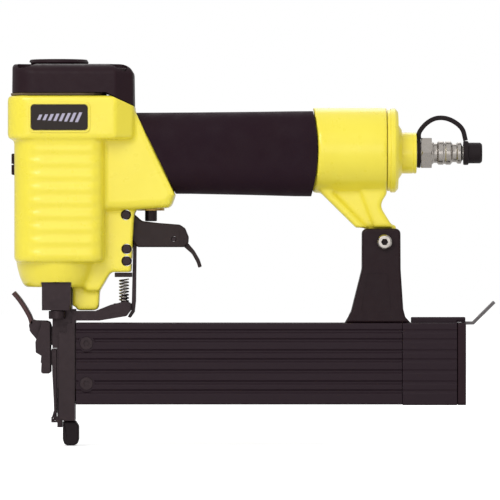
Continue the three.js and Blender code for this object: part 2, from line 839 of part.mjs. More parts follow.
place(
  "magazine_body",
  built(
    [across(grooved(MAGAZINE.half, MAGAZINE.z0, MAGAZINE.z1, 0.7), MAGAZINE.x0, MAGAZINE.x1)],
    [
      block(0, 200, -RAIL.half - GAP, RAIL.half + GAP, RAIL.z0 - 0.4, RAIL.z1 + 0.4),
      ...SIDE_SCREWS.z.flatMap((z) => [
        alongY(SIDE_SCREWS.x, z, -20, -7, 1.8, 10),
        alongY(SIDE_SCREWS.x, z, -20, -MAGAZINE.half + 2.3, 3.5, 14),
      ]),
      upright(BASE_SCREW_X, 0, 50, 64, 2.6),
      upright(BASE_SCREW_X, 0, 50, 60, 4.3, 14),
    ],
  ),
  BLACK_ALUMINIUM,
);
SIDE_SCREWS.z.forEach((z, i) => {
  const { x } = SIDE_SCREWS;
  const face = -MAGAZINE.half;
  const screw = built(
    [alongY(x, z, face + 2, -3, 1.5, 10), alongY(x, z, face + 0.2, face + 2.1, 3.2, 14)],
    [alongY(x, z, face, face + 1.3, 1.6, 6)],
  );
  place(`magazine_screw_${i + 1}`, screw, BLACK_STEEL);
});

place(
  "sliding_rail",
  built(
    [block(RAIL.x0, RAIL.x1, -RAIL.half, RAIL.half, RAIL.z0, RAIL.z1)],
    [block(0, 200, -5.5, 5.5, 27, 60)],
  ),
  BARE_ALUMINIUM,
);
place(
  "end_block",
  built(
    [
      across(grooved(12.6, 20.2, 61.2, 0.3), 166, 193.2),
      across(roundedBox(-9, 9, 58, 64, 1, 1), 170.6, 193.2),
      across(roundedBox(-9, 9, 62.3, 64, 0.5, 1), 190, 197.4),
      block(190, 197.4, -8.6, -5, 61.5, 63),
      block(190, 197.4, 5, 8.6, 61.5, 63),
    ],
    [block(160, 192.3, -RAIL.half - GAP, RAIL.half + GAP, RAIL.z0 - GAP, RAIL.z1 + GAP)],
  ),
  BLACK_ALUMINIUM,
);
place(
  "end_plate",
  built(
    [across(roundedBox(-12.6, 12.6, 20.2, 61.2, 1.5, 2), 193.5, 197.6)],
    [block(190, 200, -4.3, 4.3, 54.4, 65), crosswise(RELEASE_PIN.x, RELEASE_PIN.z, 7, 1.2, 10)],
  ),
  BLACK_PLASTIC,
);
place(
  "spring_rod",
  rod([140, 0, ROD_Z], [191.9, 0, ROD_Z], 1.8, 10),
  BRIGHT_STEEL,
);
place(
  "pusher",
  built([block(17, 34, -5.1, 5.1, 27.4, 56), block(5, 18, -0.55, 0.55, 28, 56)]),
  BRIGHT_STEEL,
);
place(
  "pusher_spring",
  coil(3.2, 0.9, 157, 14, 6).rotateY(Math.PI / 2).translate(34.4, 0, ROD_Z),
  BRIGHT_STEEL,
);

function releaseLever() {
  const { x, z } = RELEASE_PIN;
  const profile = outline(
    [194.6, 59],
    [197.4, 60.2],
    [201.8, 60.3],
    [212.6, 71],
    [211.6, 72.1],
    [201.2, 61.8],
    [196.4, 61.8],
    [194.2, 60],
  );
  return built(
    [side(profile, -4, 4), crosswise(x, z, 4, 2.1, 14)],
    [crosswise(x, z, 6, 1.3, 10)],
  );
}
place("release_lever", releaseLever(), BRIGHT_STEEL);
place("release_pin", crosswise(RELEASE_PIN.x, RELEASE_PIN.z, 6.8, 1, 10), BRIGHT_STEEL);

// ---- rear bracket -------------------------------------------------------------------------------
const onScrewAxis = (y0, y1, r, sides) => alongY(SCREW_HOLE.x, SCREW_HOLE.z, y0, y1, r, sides);

function rearBracket() {
  const profile = outline(
    [137.5, 61.6],
    [170, 61.6],
    [167.4, 64.2],
    [166.4, 68],
    [165, 88],
    [165, 105],
    [162, 108.2],
    [149, 108.2],
    [146, 105],
    [146, 88],
    [140, 66],
    [139, 63.8],
  );
  return built(
    [side(profile, -11, 11, 1.2, 1)],
    [
      block(140, 170, -5.6, 5.6, 92, 120),
      onScrewAxis(-20, 20, 3.1),
      upright(BASE_SCREW_X, 0, 60, 73, 2.6),
    ],
  );
}
place("rear_bracket", rearBracket(), BLACK_PLASTIC);
place(
  "bracket_screw",
  built(
    [onScrewAxis(-14.4, -11.3, 4.2, 18), onScrewAxis(-11.4, 14.6, 2.7, 14)],
    [onScrewAxis(-15, -12.4, 2.3, 6)],
  ),
  BRIGHT_STEEL,
);
place(
  "bracket_nut",
  built([onScrewAxis(11.4, 15.2, 5.2, 6)], [onScrewAxis(10, 17, 3, 14)]),
  BRIGHT_STEEL,
);
place(
  "bracket_base_screw",
  built([upright(BASE_SCREW_X, 0, 59, 72.6, 2.3), upright(BASE_SCREW_X, 0, 58.2, 59.7, 4, 14)]),
  BLACK_STEEL,
);

export default tool;
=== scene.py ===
# %% [markdown]
# # A pneumatic brad nailer
# The tool is an assembly: an enamelled aluminium casting holds the cylinder, the handle and the arm,
# and black steel, rubber and plastic pieces are screwed to it or slide on it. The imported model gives
# the size and the place of each piece, and this lesson gives each piece its fine surface and finish.

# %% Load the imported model
import math

import bmesh
import bpy
from mathutils import Matrix, Vector


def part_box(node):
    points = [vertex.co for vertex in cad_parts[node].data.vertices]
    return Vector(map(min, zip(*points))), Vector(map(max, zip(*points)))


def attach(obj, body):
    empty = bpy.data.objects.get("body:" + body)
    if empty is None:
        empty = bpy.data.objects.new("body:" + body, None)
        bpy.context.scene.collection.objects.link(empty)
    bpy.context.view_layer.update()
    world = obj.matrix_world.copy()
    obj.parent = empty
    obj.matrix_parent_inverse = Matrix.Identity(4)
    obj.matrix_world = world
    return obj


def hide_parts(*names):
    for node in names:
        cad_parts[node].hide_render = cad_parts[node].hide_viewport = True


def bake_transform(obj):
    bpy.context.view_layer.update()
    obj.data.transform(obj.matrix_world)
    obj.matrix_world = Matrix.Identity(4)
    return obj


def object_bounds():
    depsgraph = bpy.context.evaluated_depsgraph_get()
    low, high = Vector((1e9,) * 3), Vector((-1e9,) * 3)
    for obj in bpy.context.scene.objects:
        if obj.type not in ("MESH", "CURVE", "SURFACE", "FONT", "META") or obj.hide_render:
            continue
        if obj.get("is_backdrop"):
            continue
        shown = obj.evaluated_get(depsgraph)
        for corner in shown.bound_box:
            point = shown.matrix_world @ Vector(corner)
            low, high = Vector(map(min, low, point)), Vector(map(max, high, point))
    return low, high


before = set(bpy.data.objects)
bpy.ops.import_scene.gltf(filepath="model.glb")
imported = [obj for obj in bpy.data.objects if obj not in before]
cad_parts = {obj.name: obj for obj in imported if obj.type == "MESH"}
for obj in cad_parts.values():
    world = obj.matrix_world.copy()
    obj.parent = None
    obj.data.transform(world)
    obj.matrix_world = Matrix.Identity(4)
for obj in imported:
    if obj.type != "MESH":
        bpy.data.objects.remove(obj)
scene = bpy.context.scene
cad_low, cad_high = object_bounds()
MM = 0.001  # shapes are drawn in millimetres and scaled once, when a piece is finished
print("size in mm:", [round(v / MM, 1) for v in cad_high - cad_low])

# %% [markdown]
# ## Camera and light
# A product picture of a tool is taken square from the side with a long lens, so that its outline
# keeps true proportions. A white studio lights black pieces from all round, and one large soft lamp
# above the front gives the rounded castings a bright upper side and a deeper lower side.

# %% Camera
AIM = Vector((0.090, 0.0, 0.0975))
DISTANCE = 3.0
FIELD = 0.250  # width of the picture at the tool's middle plane
camera_data = bpy.data.cameras.new("camera")
camera_data.sensor_width = 36
camera_data.lens = camera_data.sensor_width * DISTANCE / FIELD
camera = bpy.data.objects.new("camera", camera_data)
camera.location = AIM - Vector((0, DISTANCE, 0))
camera.rotation_euler = (math.pi / 2, 0, 0)
scene.collection.objects.link(camera)
scene.camera = camera
scene.view_settings.view_transform = "Standard"
print("lens:", round(camera_data.lens, 1), "mm")


# %% Studio
def linear(colour):
    """A colour written as sRGB hex, as the linear numbers that a shader reads."""
    channels = [int(colour[i : i + 2], 16) / 255 for i in (1, 3, 5)]
    return [c / 12.92 if c <= 0.04045 else ((c + 0.055) / 1.055) ** 2.4 for c in channels] + [1.0]


def add(tree, kind, inputs=None, **settings):
    """Adds a node. An input is given by its name or number, as a value or as the socket that feeds it."""
    made = tree.nodes.new(kind)
    for key, value in settings.items():
        setattr(made, key, value)
    for key, value in (inputs or {}).items():
        if isinstance(value, bpy.types.NodeSocket):
            tree.links.new(value, made.inputs[key])
        else:
            made.inputs[key].default_value = value
    return made


def maths(tree, operation, a, b, **settings):
    return add(tree, "ShaderNodeMath", {0: a, 1: b}, operation=operation, **settings).outputs[0]


def area_light(name, place, size, watts, colour="#ffffff"):
    data = bpy.data.lights.new(name, "AREA")
    data.size = size
    data.energy = watts
    data.color = linear(colour)[:3]
    lamp = bpy.data.objects.new(name, data)
    lamp.location = place
    lamp.rotation_euler = (AIM - Vector(place)).to_track_quat("-Z", "Y").to_euler()
    scene.collection.objects.link(lamp)


# the room is white to the camera, and lights the tool more from above than from the sides
world = bpy.data.worlds.new("white_room")
world.use_nodes = True
room = world.node_tree
looking = add(room, "ShaderNodeTexCoord").outputs["Generated"]
height = add(room, "ShaderNodeSeparateXYZ", {"Vector": looking}).outputs["Z"]
inputs = {"Value": height, "From Min": 0.0, "From Max": 1.0, "To Min": 0.50, "To Max": 0.95}
sky = add(room, "ShaderNodeMapRange", inputs).outputs["Result"]
seen = add(room, "ShaderNodeLightPath").outputs["Is Camera Ray"]
strength = add(room, "ShaderNodeMix", {"Factor": seen, "A": sky, "B": 1.0})
room.links.new(strength.outputs["Result"], room.nodes["Background"].inputs["Strength"])
room.nodes["Background"].inputs["Color"].default_value = (1, 1, 1, 1)
scene.world = world
area_light("key", (-0.45, -1.2, 0.9), 0.7, 8.5)
area_light("low_front", (0.0, -1.6, 0.12), 0.9, 3.6)
area_light("back", (0.1, 1.2, 1.0), 0.8, 3.0)

floor_mesh = bpy.data.meshes.new("floor")
floor_mesh.from_pydata([(-6, -6, 0), (6, -6, 0), (6, 6, 0), (-6, 6, 0)], [], [(0, 1, 2, 3)])
floor = bpy.data.objects.new("floor", floor_mesh)
floor.location.z = cad_low.z - 0.0002
scene.collection.objects.link(floor)
paper = bpy.data.materials.new("matt_white_backdrop")
paper.use_nodes = True
paper_tree = paper.node_tree
paper_shader = paper_tree.nodes["Principled BSDF"]
paper_shader.inputs["Base Color"].default_value = linear("#e4e4e4")
paper_shader.inputs["Roughness"].default_value = 0.9
paper_shader.inputs["Specular IOR Level"].default_value = 0.1
paper_shader.inputs["Emission Color"].default_value = (1, 1, 1, 1)
seen = add(paper_tree, "ShaderNodeLightPath").outputs["Is Camera Ray"]
glow = maths(paper_tree, "MULTIPLY", seen, 0.5)
paper_tree.links.new(glow, paper_shader.inputs["Emission Strength"])
floor_mesh.materials.append(paper)
floor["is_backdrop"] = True

# %% [markdown]
# ## Finishes
# Each finish is one material, named for what the real piece is made of and how it was made. All of
# them read Object coordinates, so a grain stays at its real size on every piece and moves with it.


# %% Material helpers
def grain(tree, size_mm, detail=2.0, stretch=(1, 1, 1)):
    """Noise whose features are about size_mm across; stretch lengthens them along an axis."""
    place = add(tree, "ShaderNodeTexCoord").outputs["Object"]
    scale = [1 / s for s in stretch]
    mapped = add(tree, "ShaderNodeMapping", {"Vector": place, "Scale": scale})
    inputs = {"Vector": mapped.outputs["Vector"], "Scale": 1 / (size_mm * MM), "Detail": detail}
    return add(tree, "ShaderNodeTexNoise", inputs).outputs["Fac"]


def relief(tree, shader, pattern, strength, depth_mm):
    inputs = {"Height": pattern, "Strength": strength, "Distance": depth_mm * MM}
    bump = add(tree, "ShaderNodeBump", inputs)
    tree.links.new(bump.outputs["Normal"], shader.inputs["Normal"])


def finish(name, colour, roughness, metallic=0.0, tints=None, spread=None, bumps=None, **sockets):
    """A Principled material. Sockets take even values; the rest is worked by grain, whose own values
    come first: tints mixes two colours, spread moves the roughness, and bumps has a strength and a
    depth in mm."""
    made = bpy.data.materials.new(name)
    made.use_nodes = True
    made.diffuse_color = linear(colour)
    tree = made.node_tree
    shader = tree.nodes["Principled BSDF"]
    even = {"Base Color": linear(colour), "Roughness": roughness, "Metallic": metallic}
    for key, value in (even | sockets).items():
        shader.inputs[key.replace("_", " ")].default_value = value
    if tints:
        mixed = add(tree, "ShaderNodeMix", {"Factor": grain(tree, *tints[0])}, data_type="RGBA")
        mixed.inputs[6].default_value = linear(tints[1])
        mixed.inputs[7].default_value = linear(tints[2])
        tree.links.new(mixed.outputs[2], shader.inputs["Base Color"])
    if spread:
        inputs = {"Value": grain(tree, *spread[0]), "From Min": 0.3, "From Max": 0.7}
        inputs |= {"To Min": spread[1], "To Max": spread[2]}
        moved = add(tree, "ShaderNodeMapRange", inputs)
        tree.links.new(moved.outputs["Result"], shader.inputs["Roughness"])
    if bumps:
        relief(tree, shader, grain(tree, *bumps[0]), bumps[1], bumps[2])
    return made


# %% [markdown]
# ### Gloss enamel on a die casting
# The body is cast aluminium, sprayed with stoving enamel. The film is thick and glossy, with faint
# orange peel about a millimetre across, and it pools a little deeper in colour here and there.

# %% Gloss enamel
enamel = finish(
    "gloss_enamel_on_die_casting", "#efdf42", 0.32, Coat_Weight=0.2, Coat_Roughness=0.12,
    tints=((22, 1), "#f1e246", "#ebd93a"), spread=((6,), 0.26, 0.36), bumps=((1.3, 1), 0.12, 0.2),
)
print("enamel:", len(enamel.node_tree.nodes), "nodes")

# %% [markdown]
# ### Moulded plastics
# The cap and the end plate are glass-filled nylon with a fine spark-eroded texture, which scatters
# the highlight. The trigger is acetal, smoother and a little browner. The plate beside the cap is
# gloss polycarbonate, printed with a screen in one pale ink.

# %% Plastics
nylon = finish(
    "spark_textured_nylon", "#24131a", 0.5, Specular_IOR_Level=0.14,
    tints=((14,), "#22121a", "#27161b"), spread=((3,), 0.42, 0.56), bumps=((0.5, 3), 0.3, 0.12),
)
acetal = finish(
    "smooth_acetal", "#2b2020", 0.4, Specular_IOR_Level=0.17,
    spread=((4,), 0.32, 0.46), bumps=((0.8, 2), 0.15, 0.1),
)
plate_plastic = finish(
    "gloss_polycarbonate", "#1f140f", 0.26, Specular_IOR_Level=0.2, spread=((5,), 0.12, 0.22)
)
ink = finish("screen_printing_ink", "#a9a3b8", 0.5, spread=((2,), 0.42, 0.58))
print("plastics:", nylon.name, acetal.name, plate_plastic.name, ink.name)

# %% [markdown]
# ### Rubbers
# The grip is a soft elastomer moulded over the handle: matt, with a fine leathery grain that is drawn
# at 0.9 mm so that it shows. The dust cap, its strap and the no-mar tip are nitrile rubber, plainer
# and a little shinier. The bumper inside the cylinder is amber polyurethane.

# %% Rubbers
LEATHER_MM = 0.9
elastomer = finish(
    "grained_elastomer", "#201018", 0.7, Specular_IOR_Level=0.12,
    tints=((30, 1), "#20101b", "#231219"), spread=((9,), 0.62, 0.78),
)
leather = elastomer.node_tree
place = add(leather, "ShaderNodeTexCoord").outputs["Object"]
inputs = {"Vector": place, "Scale": 1 / (LEATHER_MM * MM)}
cells = add(leather, "ShaderNodeTexVoronoi", inputs, feature="SMOOTH_F1")
relief(leather, leather.nodes["Principled BSDF"], cells.outputs["Distance"], 0.35, 0.25)
nitrile = finish(
    "nitrile_rubber", "#1c1417", 0.55, Specular_IOR_Level=0.16,
    spread=((5,), 0.48, 0.64), bumps=((0.7, 2), 0.2, 0.1),
)
polyurethane = finish(
    "amber_polyurethane", "#8a4f1e", 0.45, Subsurface_Weight=0.1, spread=((4,), 0.4, 0.55)
)
print("rubbers:", elastomer.name, nitrile.name, polyurethane.name)

# %% [markdown]
# ### Black metals
# The magazine is an extrusion, black anodised, with faint drawing lines along its length. The
# bracket is a casting with powder coat. The nose, the door, the safety and the latch's cheeks are
# steel with black oxide, and the latch's thumb tab is bronzed, which leaves it a reddish brown.

# %% Black metals
DRAWN = (0.6, 3, (60, 1, 1))
anodised = finish(
    "black_anodised_extrusion", "#23151d", 0.45, 0.1, Specular_IOR_Level=0.18,
    tints=(DRAWN, "#20121a", "#261820"), spread=(DRAWN, 0.36, 0.5), bumps=(DRAWN, 0.12, 0.08),
)
powder_coat = finish(
    "powder_coated_casting", "#22151a", 0.5, Specular_IOR_Level=0.16,
    tints=((16,), "#1f1217", "#241519"), spread=((4,), 0.42, 0.58), bumps=((0.9, 2), 0.25, 0.15),
)
oxide_steel = finish(
    "black_oxide_steel", "#2a1e22", 0.42, 0.6,
    tints=((7, 3), "#251a1e", "#322528"), spread=((2.5, 3), 0.34, 0.5), bumps=((0.6, 2), 0.1, 0.08),
)
bronzed = finish(
    "bronzed_steel", "#45302f", 0.4, 0.6, tints=((5, 3), "#3d2a2d", "#4f3634"), spread=((2, 3), 0.32, 0.48)
)
print("black metals:", anodised.name, powder_coat.name, oxide_steel.name, bronzed.name)

# %% [markdown]
# ### Bright metals and gasket board
# The air plug, the springs and the rods are nickel plated, and the release lever is plain grey spring
# steel. The machined inner pieces are bare aluminium with turning marks, the trigger valve is brass,
# and the gasket is beater-addition board.

# %% Bright metals and gasket board
nickel = finish(
    "nickel_plate", "#a8a29c", 0.24, 1.0, tints=((4, 2), "#a19a93", "#b3aea9"), spread=((1.5, 3), 0.18, 0.32)
)
grey_steel = finish("spring_steel", "#5f5b5c", 0.36, 0.9, spread=((2,), 0.3, 0.44))
TURNED = (0.5, 2, (1, 1, 0.2))
aluminium = finish(
    "machined_aluminium", "#b9babb", 0.38, 1.0, spread=(TURNED, 0.3, 0.46), bumps=(TURNED, 0.1, 0.05)
)
brass = finish("turned_brass", "#b3914e", 0.3, 1.0, spread=((1, 2), 0.24, 0.4))
board = finish("gasket_board", "#6a5b46", 0.9, tints=((0.8, 3), "#5d4f3c", "#776751"))
print("bright metals:", nickel.name, grey_steel.name, aluminium.name, brass.name)

# %% [markdown]
# ## Drawing tools
# Most pieces are an outline given a thickness, or a profile turned on a lathe. An outline is a short
# list of corners, each with its own fillet radius, because that is how the real drawings give them.


# %% Outlines
def span(node):
    """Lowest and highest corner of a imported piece, in millimetres."""
    low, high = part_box(node)
    return low / MM, high / MM


def centre(node):
    low, high = span(node)
    return (low + high) / 2


def rounded(corners, radius=0.0, step=9.0):
    """An outline with its corners filleted. A corner is (u, v) or (u, v, its own radius)."""
    points = []
    for i, corner in enumerate(corners):
        here = Vector(corner[:2])
        before = Vector(corners[i - 1][:2]) - here
        after = Vector(corners[(i + 1) % len(corners)][:2]) - here
        wanted = corner[2] if len(corner) > 2 else radius
        half = before.angle(after) / 2
        if wanted <= 0 or math.pi / 2 - half < 0.01:
            points.append(tuple(here))
            continue
        back = min(wanted / math.tan(half), 0.49 * before.length, 0.49 * after.length)
        actual = back * math.tan(half)
        centre = here + (before.normalized() + after.normalized()).normalized() * (actual / math.sin(half))
        first = here + before.normalized() * back - centre
        last = here + after.normalized() * back - centre
        start = math.atan2(first.y, first.x)
        sweep = (math.atan2(last.y, last.x) - start + math.pi) % math.tau - math.pi
        count = max(2, round(abs(math.degrees(sweep)) / step))
        for k in range(count + 1):
            a = start + sweep * k / count
            points.append((centre.x + actual * math.cos(a), centre.y + actual * math.sin(a)))
    return points


def box_outline(u0, u1, v0, v1, radius=0.0):
    return rounded([(u0, v0), (u1, v0), (u1, v1), (u0, v1)], radius)


def circle(u, v, r, count=64):
    turn = [math.tau * k / count for k in range(count)]
    return [(u + r * math.cos(a), v + r * math.sin(a)) for a in turn]


def inset(corners, distances):
    """Moves each side of a convex outline inwards, and shrinks its fillets to match. Side i runs from
    corner i to the next one."""
    middle = sum((Vector(c[:2]) for c in corners), Vector((0, 0))) / len(corners)
    sides = []
    for i, corner in enumerate(corners):
        a, b = Vector(corner[:2]), Vector(corners[(i + 1) % len(corners)][:2])
        normal = Vector((a.y - b.y, b.x - a.x)).normalized()
        if normal.dot(middle - a) < 0:
            normal.negate()
        sides.append((normal, normal.dot(a) + distances[i]))
    moved = []
    for i, corner in enumerate(corners):
        (n, c), (m, d) = sides[i - 1], sides[i]
        det = n.x * m.y - n.y * m.x
        point = ((c * m.y - d * n.y) / det, (d * n.x - c * m.x) / det)
        moved.append((*point, max(corner[2] - (distances[i - 1] + distances[i]) / 2, 0.8)))
    return moved


# %% [markdown]
# A solid is kept in an object of its own while it is joined and cut. The manifold solver is exact on
# closed shapes and fast on dense ones.

# %% Solids
PLANES = {"x": (1, 2, 0), "y": (0, 2, 1), "z": (0, 1, 2)}  # outline's two axes, then the depth


def as_object(name, mesh_data):
    bmesh.ops.recalc_face_normals(mesh_data, faces=mesh_data.faces)
    mesh = bpy.data.meshes.new(name)
    mesh_data.to_mesh(mesh)
    mesh_data.free()
    made = bpy.data.objects.new(name, mesh)
    scene.collection.objects.link(made)
    return made


def lofted(rings, name="solid"):
    """Skins rings of points that all have the same count, and closes both ends."""
    shape = bmesh.new()
    rows = [[shape.verts.new(p) for p in ring] for ring in rings]
    for low, high in zip(rows, rows[1:]):
        for i in range(len(low)):
            shape.faces.new((low[i - 1], low[i], high[i], high[i - 1]))
    shape.faces.new(rows[0])
    shape.faces.new(rows[-1])
    return as_object(name, shape)


def prism(outline, axis, low, high, bevel=0.0, segments=3):
    """An outline given a thickness along an axis, with the edges of both flat ends rounded."""
    u, v, w = PLANES[axis]

    def ring(depth):
        points = []
        for a, b in outline:
            point = [0.0, 0.0, 0.0]
            point[u], point[v], point[w] = a, b, depth
            points.append(point)
        return points

    made = lofted([ring(low), ring(high)])
    if bevel:
        shape = bmesh.new()
        shape.from_mesh(made.data)
        flat_ends = [f for f in shape.faces if abs(f.normal[w]) > 0.9]
        rims = list({e for f in flat_ends for e in f.edges})
        bmesh.ops.bevel(shape, geom=rims, offset=bevel, segments=segments, profile=0.5, affect="EDGES")
        bmesh.ops.recalc_face_normals(shape, faces=shape.faces)
        shape.to_mesh(made.data)
        shape.free()
    return made


def block(x0, x1, y0, y1, z0, z1, bevel=0.0):
    return prism([(x0, y0), (x1, y0), (x1, y1), (x0, y1)], "z", z0, z1, bevel)


def turned(profile, axis="z", at=(0, 0, 0), count=96, name="turned"):
    """A profile of (radius, height) turned round an axis through a point. It starts and ends on the
    axis, or closes on itself."""
    u, v, w = PLANES[axis]
    shape = bmesh.new()
    rows = []
    for radius, height in profile:
        row = []
        for k in range(count if radius > 1e-6 else 1):
            point = list(at)
            point[u] += radius * math.cos(math.tau * k / count)
            point[v] += radius * math.sin(math.tau * k / count)
            point[w] += height
            row.append(shape.verts.new(point))
        rows.append(row if len(row) > 1 else row * count)
    if profile[0][0] > 1e-6:
        rows.append(rows[0])
    for low, high in zip(rows, rows[1:]):
        for k in range(count):
            corners = []
            for vert in (low[k - 1], low[k], high[k], high[k - 1]):
                if vert not in corners:
                    corners.append(vert)
            if len(corners) > 2:
                shape.faces.new(corners)
    return as_object(name, shape)


def rod(axis, at, low, high, radius, count=64, chamfer=0.0):
    """A round bar along an axis, from one height to another."""
    c = chamfer
    ends = [(0, low), (radius - c, low), (radius, low + c), (radius, high - c), (radius - c, high), (0, high)]
    if not c:
        ends = [(0, low), (radius, low), (radius, high), (0, high)]
    return turned(ends, axis, at, count)


def modified(made, kind, **settings):
    """Adds a modifier, applies it and leaves the object with the plain mesh."""
    modifier = made.modifiers.new("step", kind)
    for key, value in settings.items():
        setattr(modifier, key, value)
    evaluated = made.evaluated_get(bpy.context.evaluated_depsgraph_get())
    result = bpy.data.meshes.new_from_object(evaluated)
    made.modifiers.clear()
    made.data = result
    return made


def combined(made, others, operation):
    for other in others:
        modified(made, "BOOLEAN", object=other, operation=operation, solver="MANIFOLD")
        bpy.data.objects.remove(other)
    return made


def joined(made, *others):
    return combined(made, others, "UNION")


def cut(made, *others):
    return combined(made, others, "DIFFERENCE")


def common(made, other):
    return combined(made, [other], "INTERSECT")


# %% [markdown]
# A finished piece is scaled to metres, shaded smooth except at its sharp edges, and given its
# material and its body. Weighted normals keep the flat faces flat beside their rounded edges.


# %% Finishing a piece
def finished(name, made, material, slot, body, *nodes, bevel=0.0, segments=3, sharp=38.0):
    made.name = name
    made.data.name = name
    if bevel:
        angle = math.radians(32)
        modified(made, "BEVEL", width=bevel, segments=segments, limit_method="ANGLE", angle_limit=angle)
    made.data.transform(Matrix.Scale(MM, 4))
    for polygon in made.data.polygons:
        polygon.use_smooth = True
    made.data.set_sharp_from_angle(angle=math.radians(sharp))
    modified(made, "WEIGHTED_NORMAL", keep_sharp=True)
    made.data.materials.clear()
    made.data.materials.append(material)
    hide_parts(*nodes)
    if isinstance(body, str):
        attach(made, body)
    else:
        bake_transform(made)
    print(f"{name}: {len(made.data.polygons)} faces")
    return made


def oxidised(name, made, body, *nodes, **settings):
    return finished(name, made, oxide_steel, "black_steel", body, *nodes, **settings)


def refined(node):
    """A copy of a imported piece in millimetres, with its loose triangles merged into flat faces."""
    shape = bmesh.new()
    shape.from_mesh(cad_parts[node].data)
    bmesh.ops.remove_doubles(shape, verts=shape.verts, dist=2e-6)
    bmesh.ops.dissolve_limit(shape, angle_limit=math.radians(1.0), verts=shape.verts, edges=shape.edges)
    bmesh.ops.scale(shape, vec=(1 / MM,) * 3, verts=shape.verts)
    return as_object(node, shape)


# %% [markdown]
# ## The casting
# The real body is one die casting: thick where the cylinder is, with webs and lugs that run into
# each other through soft fillets. Modelling every fillet by hand is slow. Here simple solids are
# overlapped and remeshed into one skin, which is then relaxed, so the fillets come by themselves.
# Machined faces, bores and holes are cut afterwards, and stay crisp.

# %% Measures that the pieces share
CYLINDER_X = sum(c.x for c in span("cylinder_sleeve")) / 2
HANDLE_Z = sum(c.z for c in span("air_plug")) / 2
BARREL_END = span("handle_end_cap")
SCREW = centre("bracket_screw")
TRIGGER_PIN = centre("trigger_pin")
GUIDE_PINS = [centre(node) for node in ("guide_pin_upper", "guide_pin_lower")]
CAP_SCREW_NODES = [f"cap_screw_{i}" for i in (1, 2, 3, 4)]
CAP_SCREWS = [centre(node) for node in CAP_SCREW_NODES]
NOSE_SCREWS = [(-6, -13), (-6, 13)]
GRIP_END = span("grip_sleeve")[1].x
REAR_R = 21.25
REAR_Z = 147.25
CYLINDER_AXIS = (CYLINDER_X, 0, 0)
HANDLE_AXIS = (0, 0, HANDLE_Z)
REAR_AXIS = (0, 0, REAR_Z)
CLAMP_AXIS = (SCREW.x, 0, SCREW.z)
HEAD_TOP = 174.2
CAP_TOP = 190


def hexagonal(front, slope, back, radii):
    """The head's plan: two front corners, then a slope to the narrower back. Each pair is (x, half)."""
    (x0, y0), (x1, y1), (x2, y2), (r0, r1, r2) = front, slope, back, radii
    near = [(x0, -y0, r0), (x1, -y1, r1), (x2, -y2, r2)]
    return near + [(x, -y, r) for x, y, r in reversed(near)]


HEAD_CORNERS = hexagonal((-30.5, 27), (23.3, 27), (32.5, 19.5), (11, 2.5, 3.5))
CAP_CORNERS = hexagonal((-28.5, 26.5), (23.5, 26.5), (32.3, 19.3), (12, 3, 4))
print("cylinder at x", round(CYLINDER_X, 2), "handle at z", round(HANDLE_Z, 2))


# %% The casting's solids
def head_block():
    return prism(rounded(HEAD_CORNERS), "z", 152.5, HEAD_TOP, 1.8)


def barrel():
    corners = [(-27.4, -25, 13), (17.5, -25, 7), (17.5, 25, 7), (-27.4, 25, 13)]
    return prism(rounded(corners), "z", 91.5, 154, 2.0)


def collar():
    rings = []
    for r, z in [(16.2, 79), (17.8, 80.4), (19.4, 84), (20.6, 88.2), (21.3, 92.5), (21.3, 95)]:
        rings.append([(CYLINDER_X + u, 1.06 * v, z) for u, v in circle(0, 0, r, 96)])
    return lofted(rings)


def web():
    corners = [(10, 166.4), (33, 166.4), (52.8, 124.8, 1.5), (50.5, 118.6, 3), (32, 117.5), (10, 117)]
    body = prism(rounded(corners), "y", -17, 17, 4, 4)
    rim = [(30.6, 166.2), (33, 166.4), (52.8, 124.8), (50.6, 124)]
    return [body, prism(rim, "y", -17.4, 17.4, 0.8)]


def handle_core():
    return prism(box_outline(-15, 15, 128.2, 163.6, 12), "x", 25, 124)


def rear_barrel():
    length = 158.2
    start = GRIP_END - 2
    tube = turned([(0, start), (REAR_R, start), (REAR_R, length), (0, length)], "x", REAR_AXIS, 128)
    # the rubber's end is bowed, so the barrel's face is dished to meet it
    dish = rod("y", (36.4, 0, REAR_Z), -30, 30, 87.6, 256)
    return cut(tube, dish)


def arm():
    back = [(158.3, 125.5, 2), (154.6, 119.8, 5), (161.6, 108.6)]
    plate = [(125, 134), (158, 134), *back, (143, 108.6), (124.8, 126.5, 2)]
    left = [(124.8, 130), (124.8, 126.6), (143, 108.6), (148.3, 108.6), (131.5, 126), (131.5, 130)]
    right = [(143, 132), (158, 132), *back, (152, 108.6), (149, 116, 6)]
    return [
        prism(rounded(plate), "y", -6.6, 6.6, 1),
        prism(left, "y", -9, 9, 1.2),
        prism(rounded(right), "y", -8.8, 8.8, 1.6),
        block(148, 163, -5.2, 5.2, 93, 110, 0.8),
    ]


def ears():
    corners = [(10, 121), (33.2, 121), (32.4, 116), (30.6, 86.5), (20.5, 86.5), (15, 77), (8, 77), (8, 100)]
    return prism(corners, "y", -12, 12, 1.2)


def boss():
    corners = [(3.4, 67.4, 1.5), (14.4, 67.4, 2.4), (15, 78), (15, 84), (1.3, 84), (1.3, 69.5), (3.4, 69.5)]
    return prism(rounded(corners), "y", -8.3, 8.3, 1.0)


# %% [markdown]
# The barrel's cooling ribs are soft grooves 6.5 mm apart on both flanks. They are pressed into the
# dense skin by moving its points inwards, fading out towards the ends of each rib.

# %% One skin, ribs and machined cuts
RIB_PITCH = 6.55
RIB_DEPTH = 0.45
RIB_TOP = 144.2  # middle of the highest groove
RIB_FIELD = (-20.0, 14.5, 92.0, 149.5)  # x from, x to, z from, z to


def fade(value, low, high, width):
    """1 between low and high, falling to 0 over a width at both ends."""
    inside = min(value - low, high - value) / width
    t = max(0.0, min(1.0, inside + 0.5))
    return t * t * (3 - 2 * t)


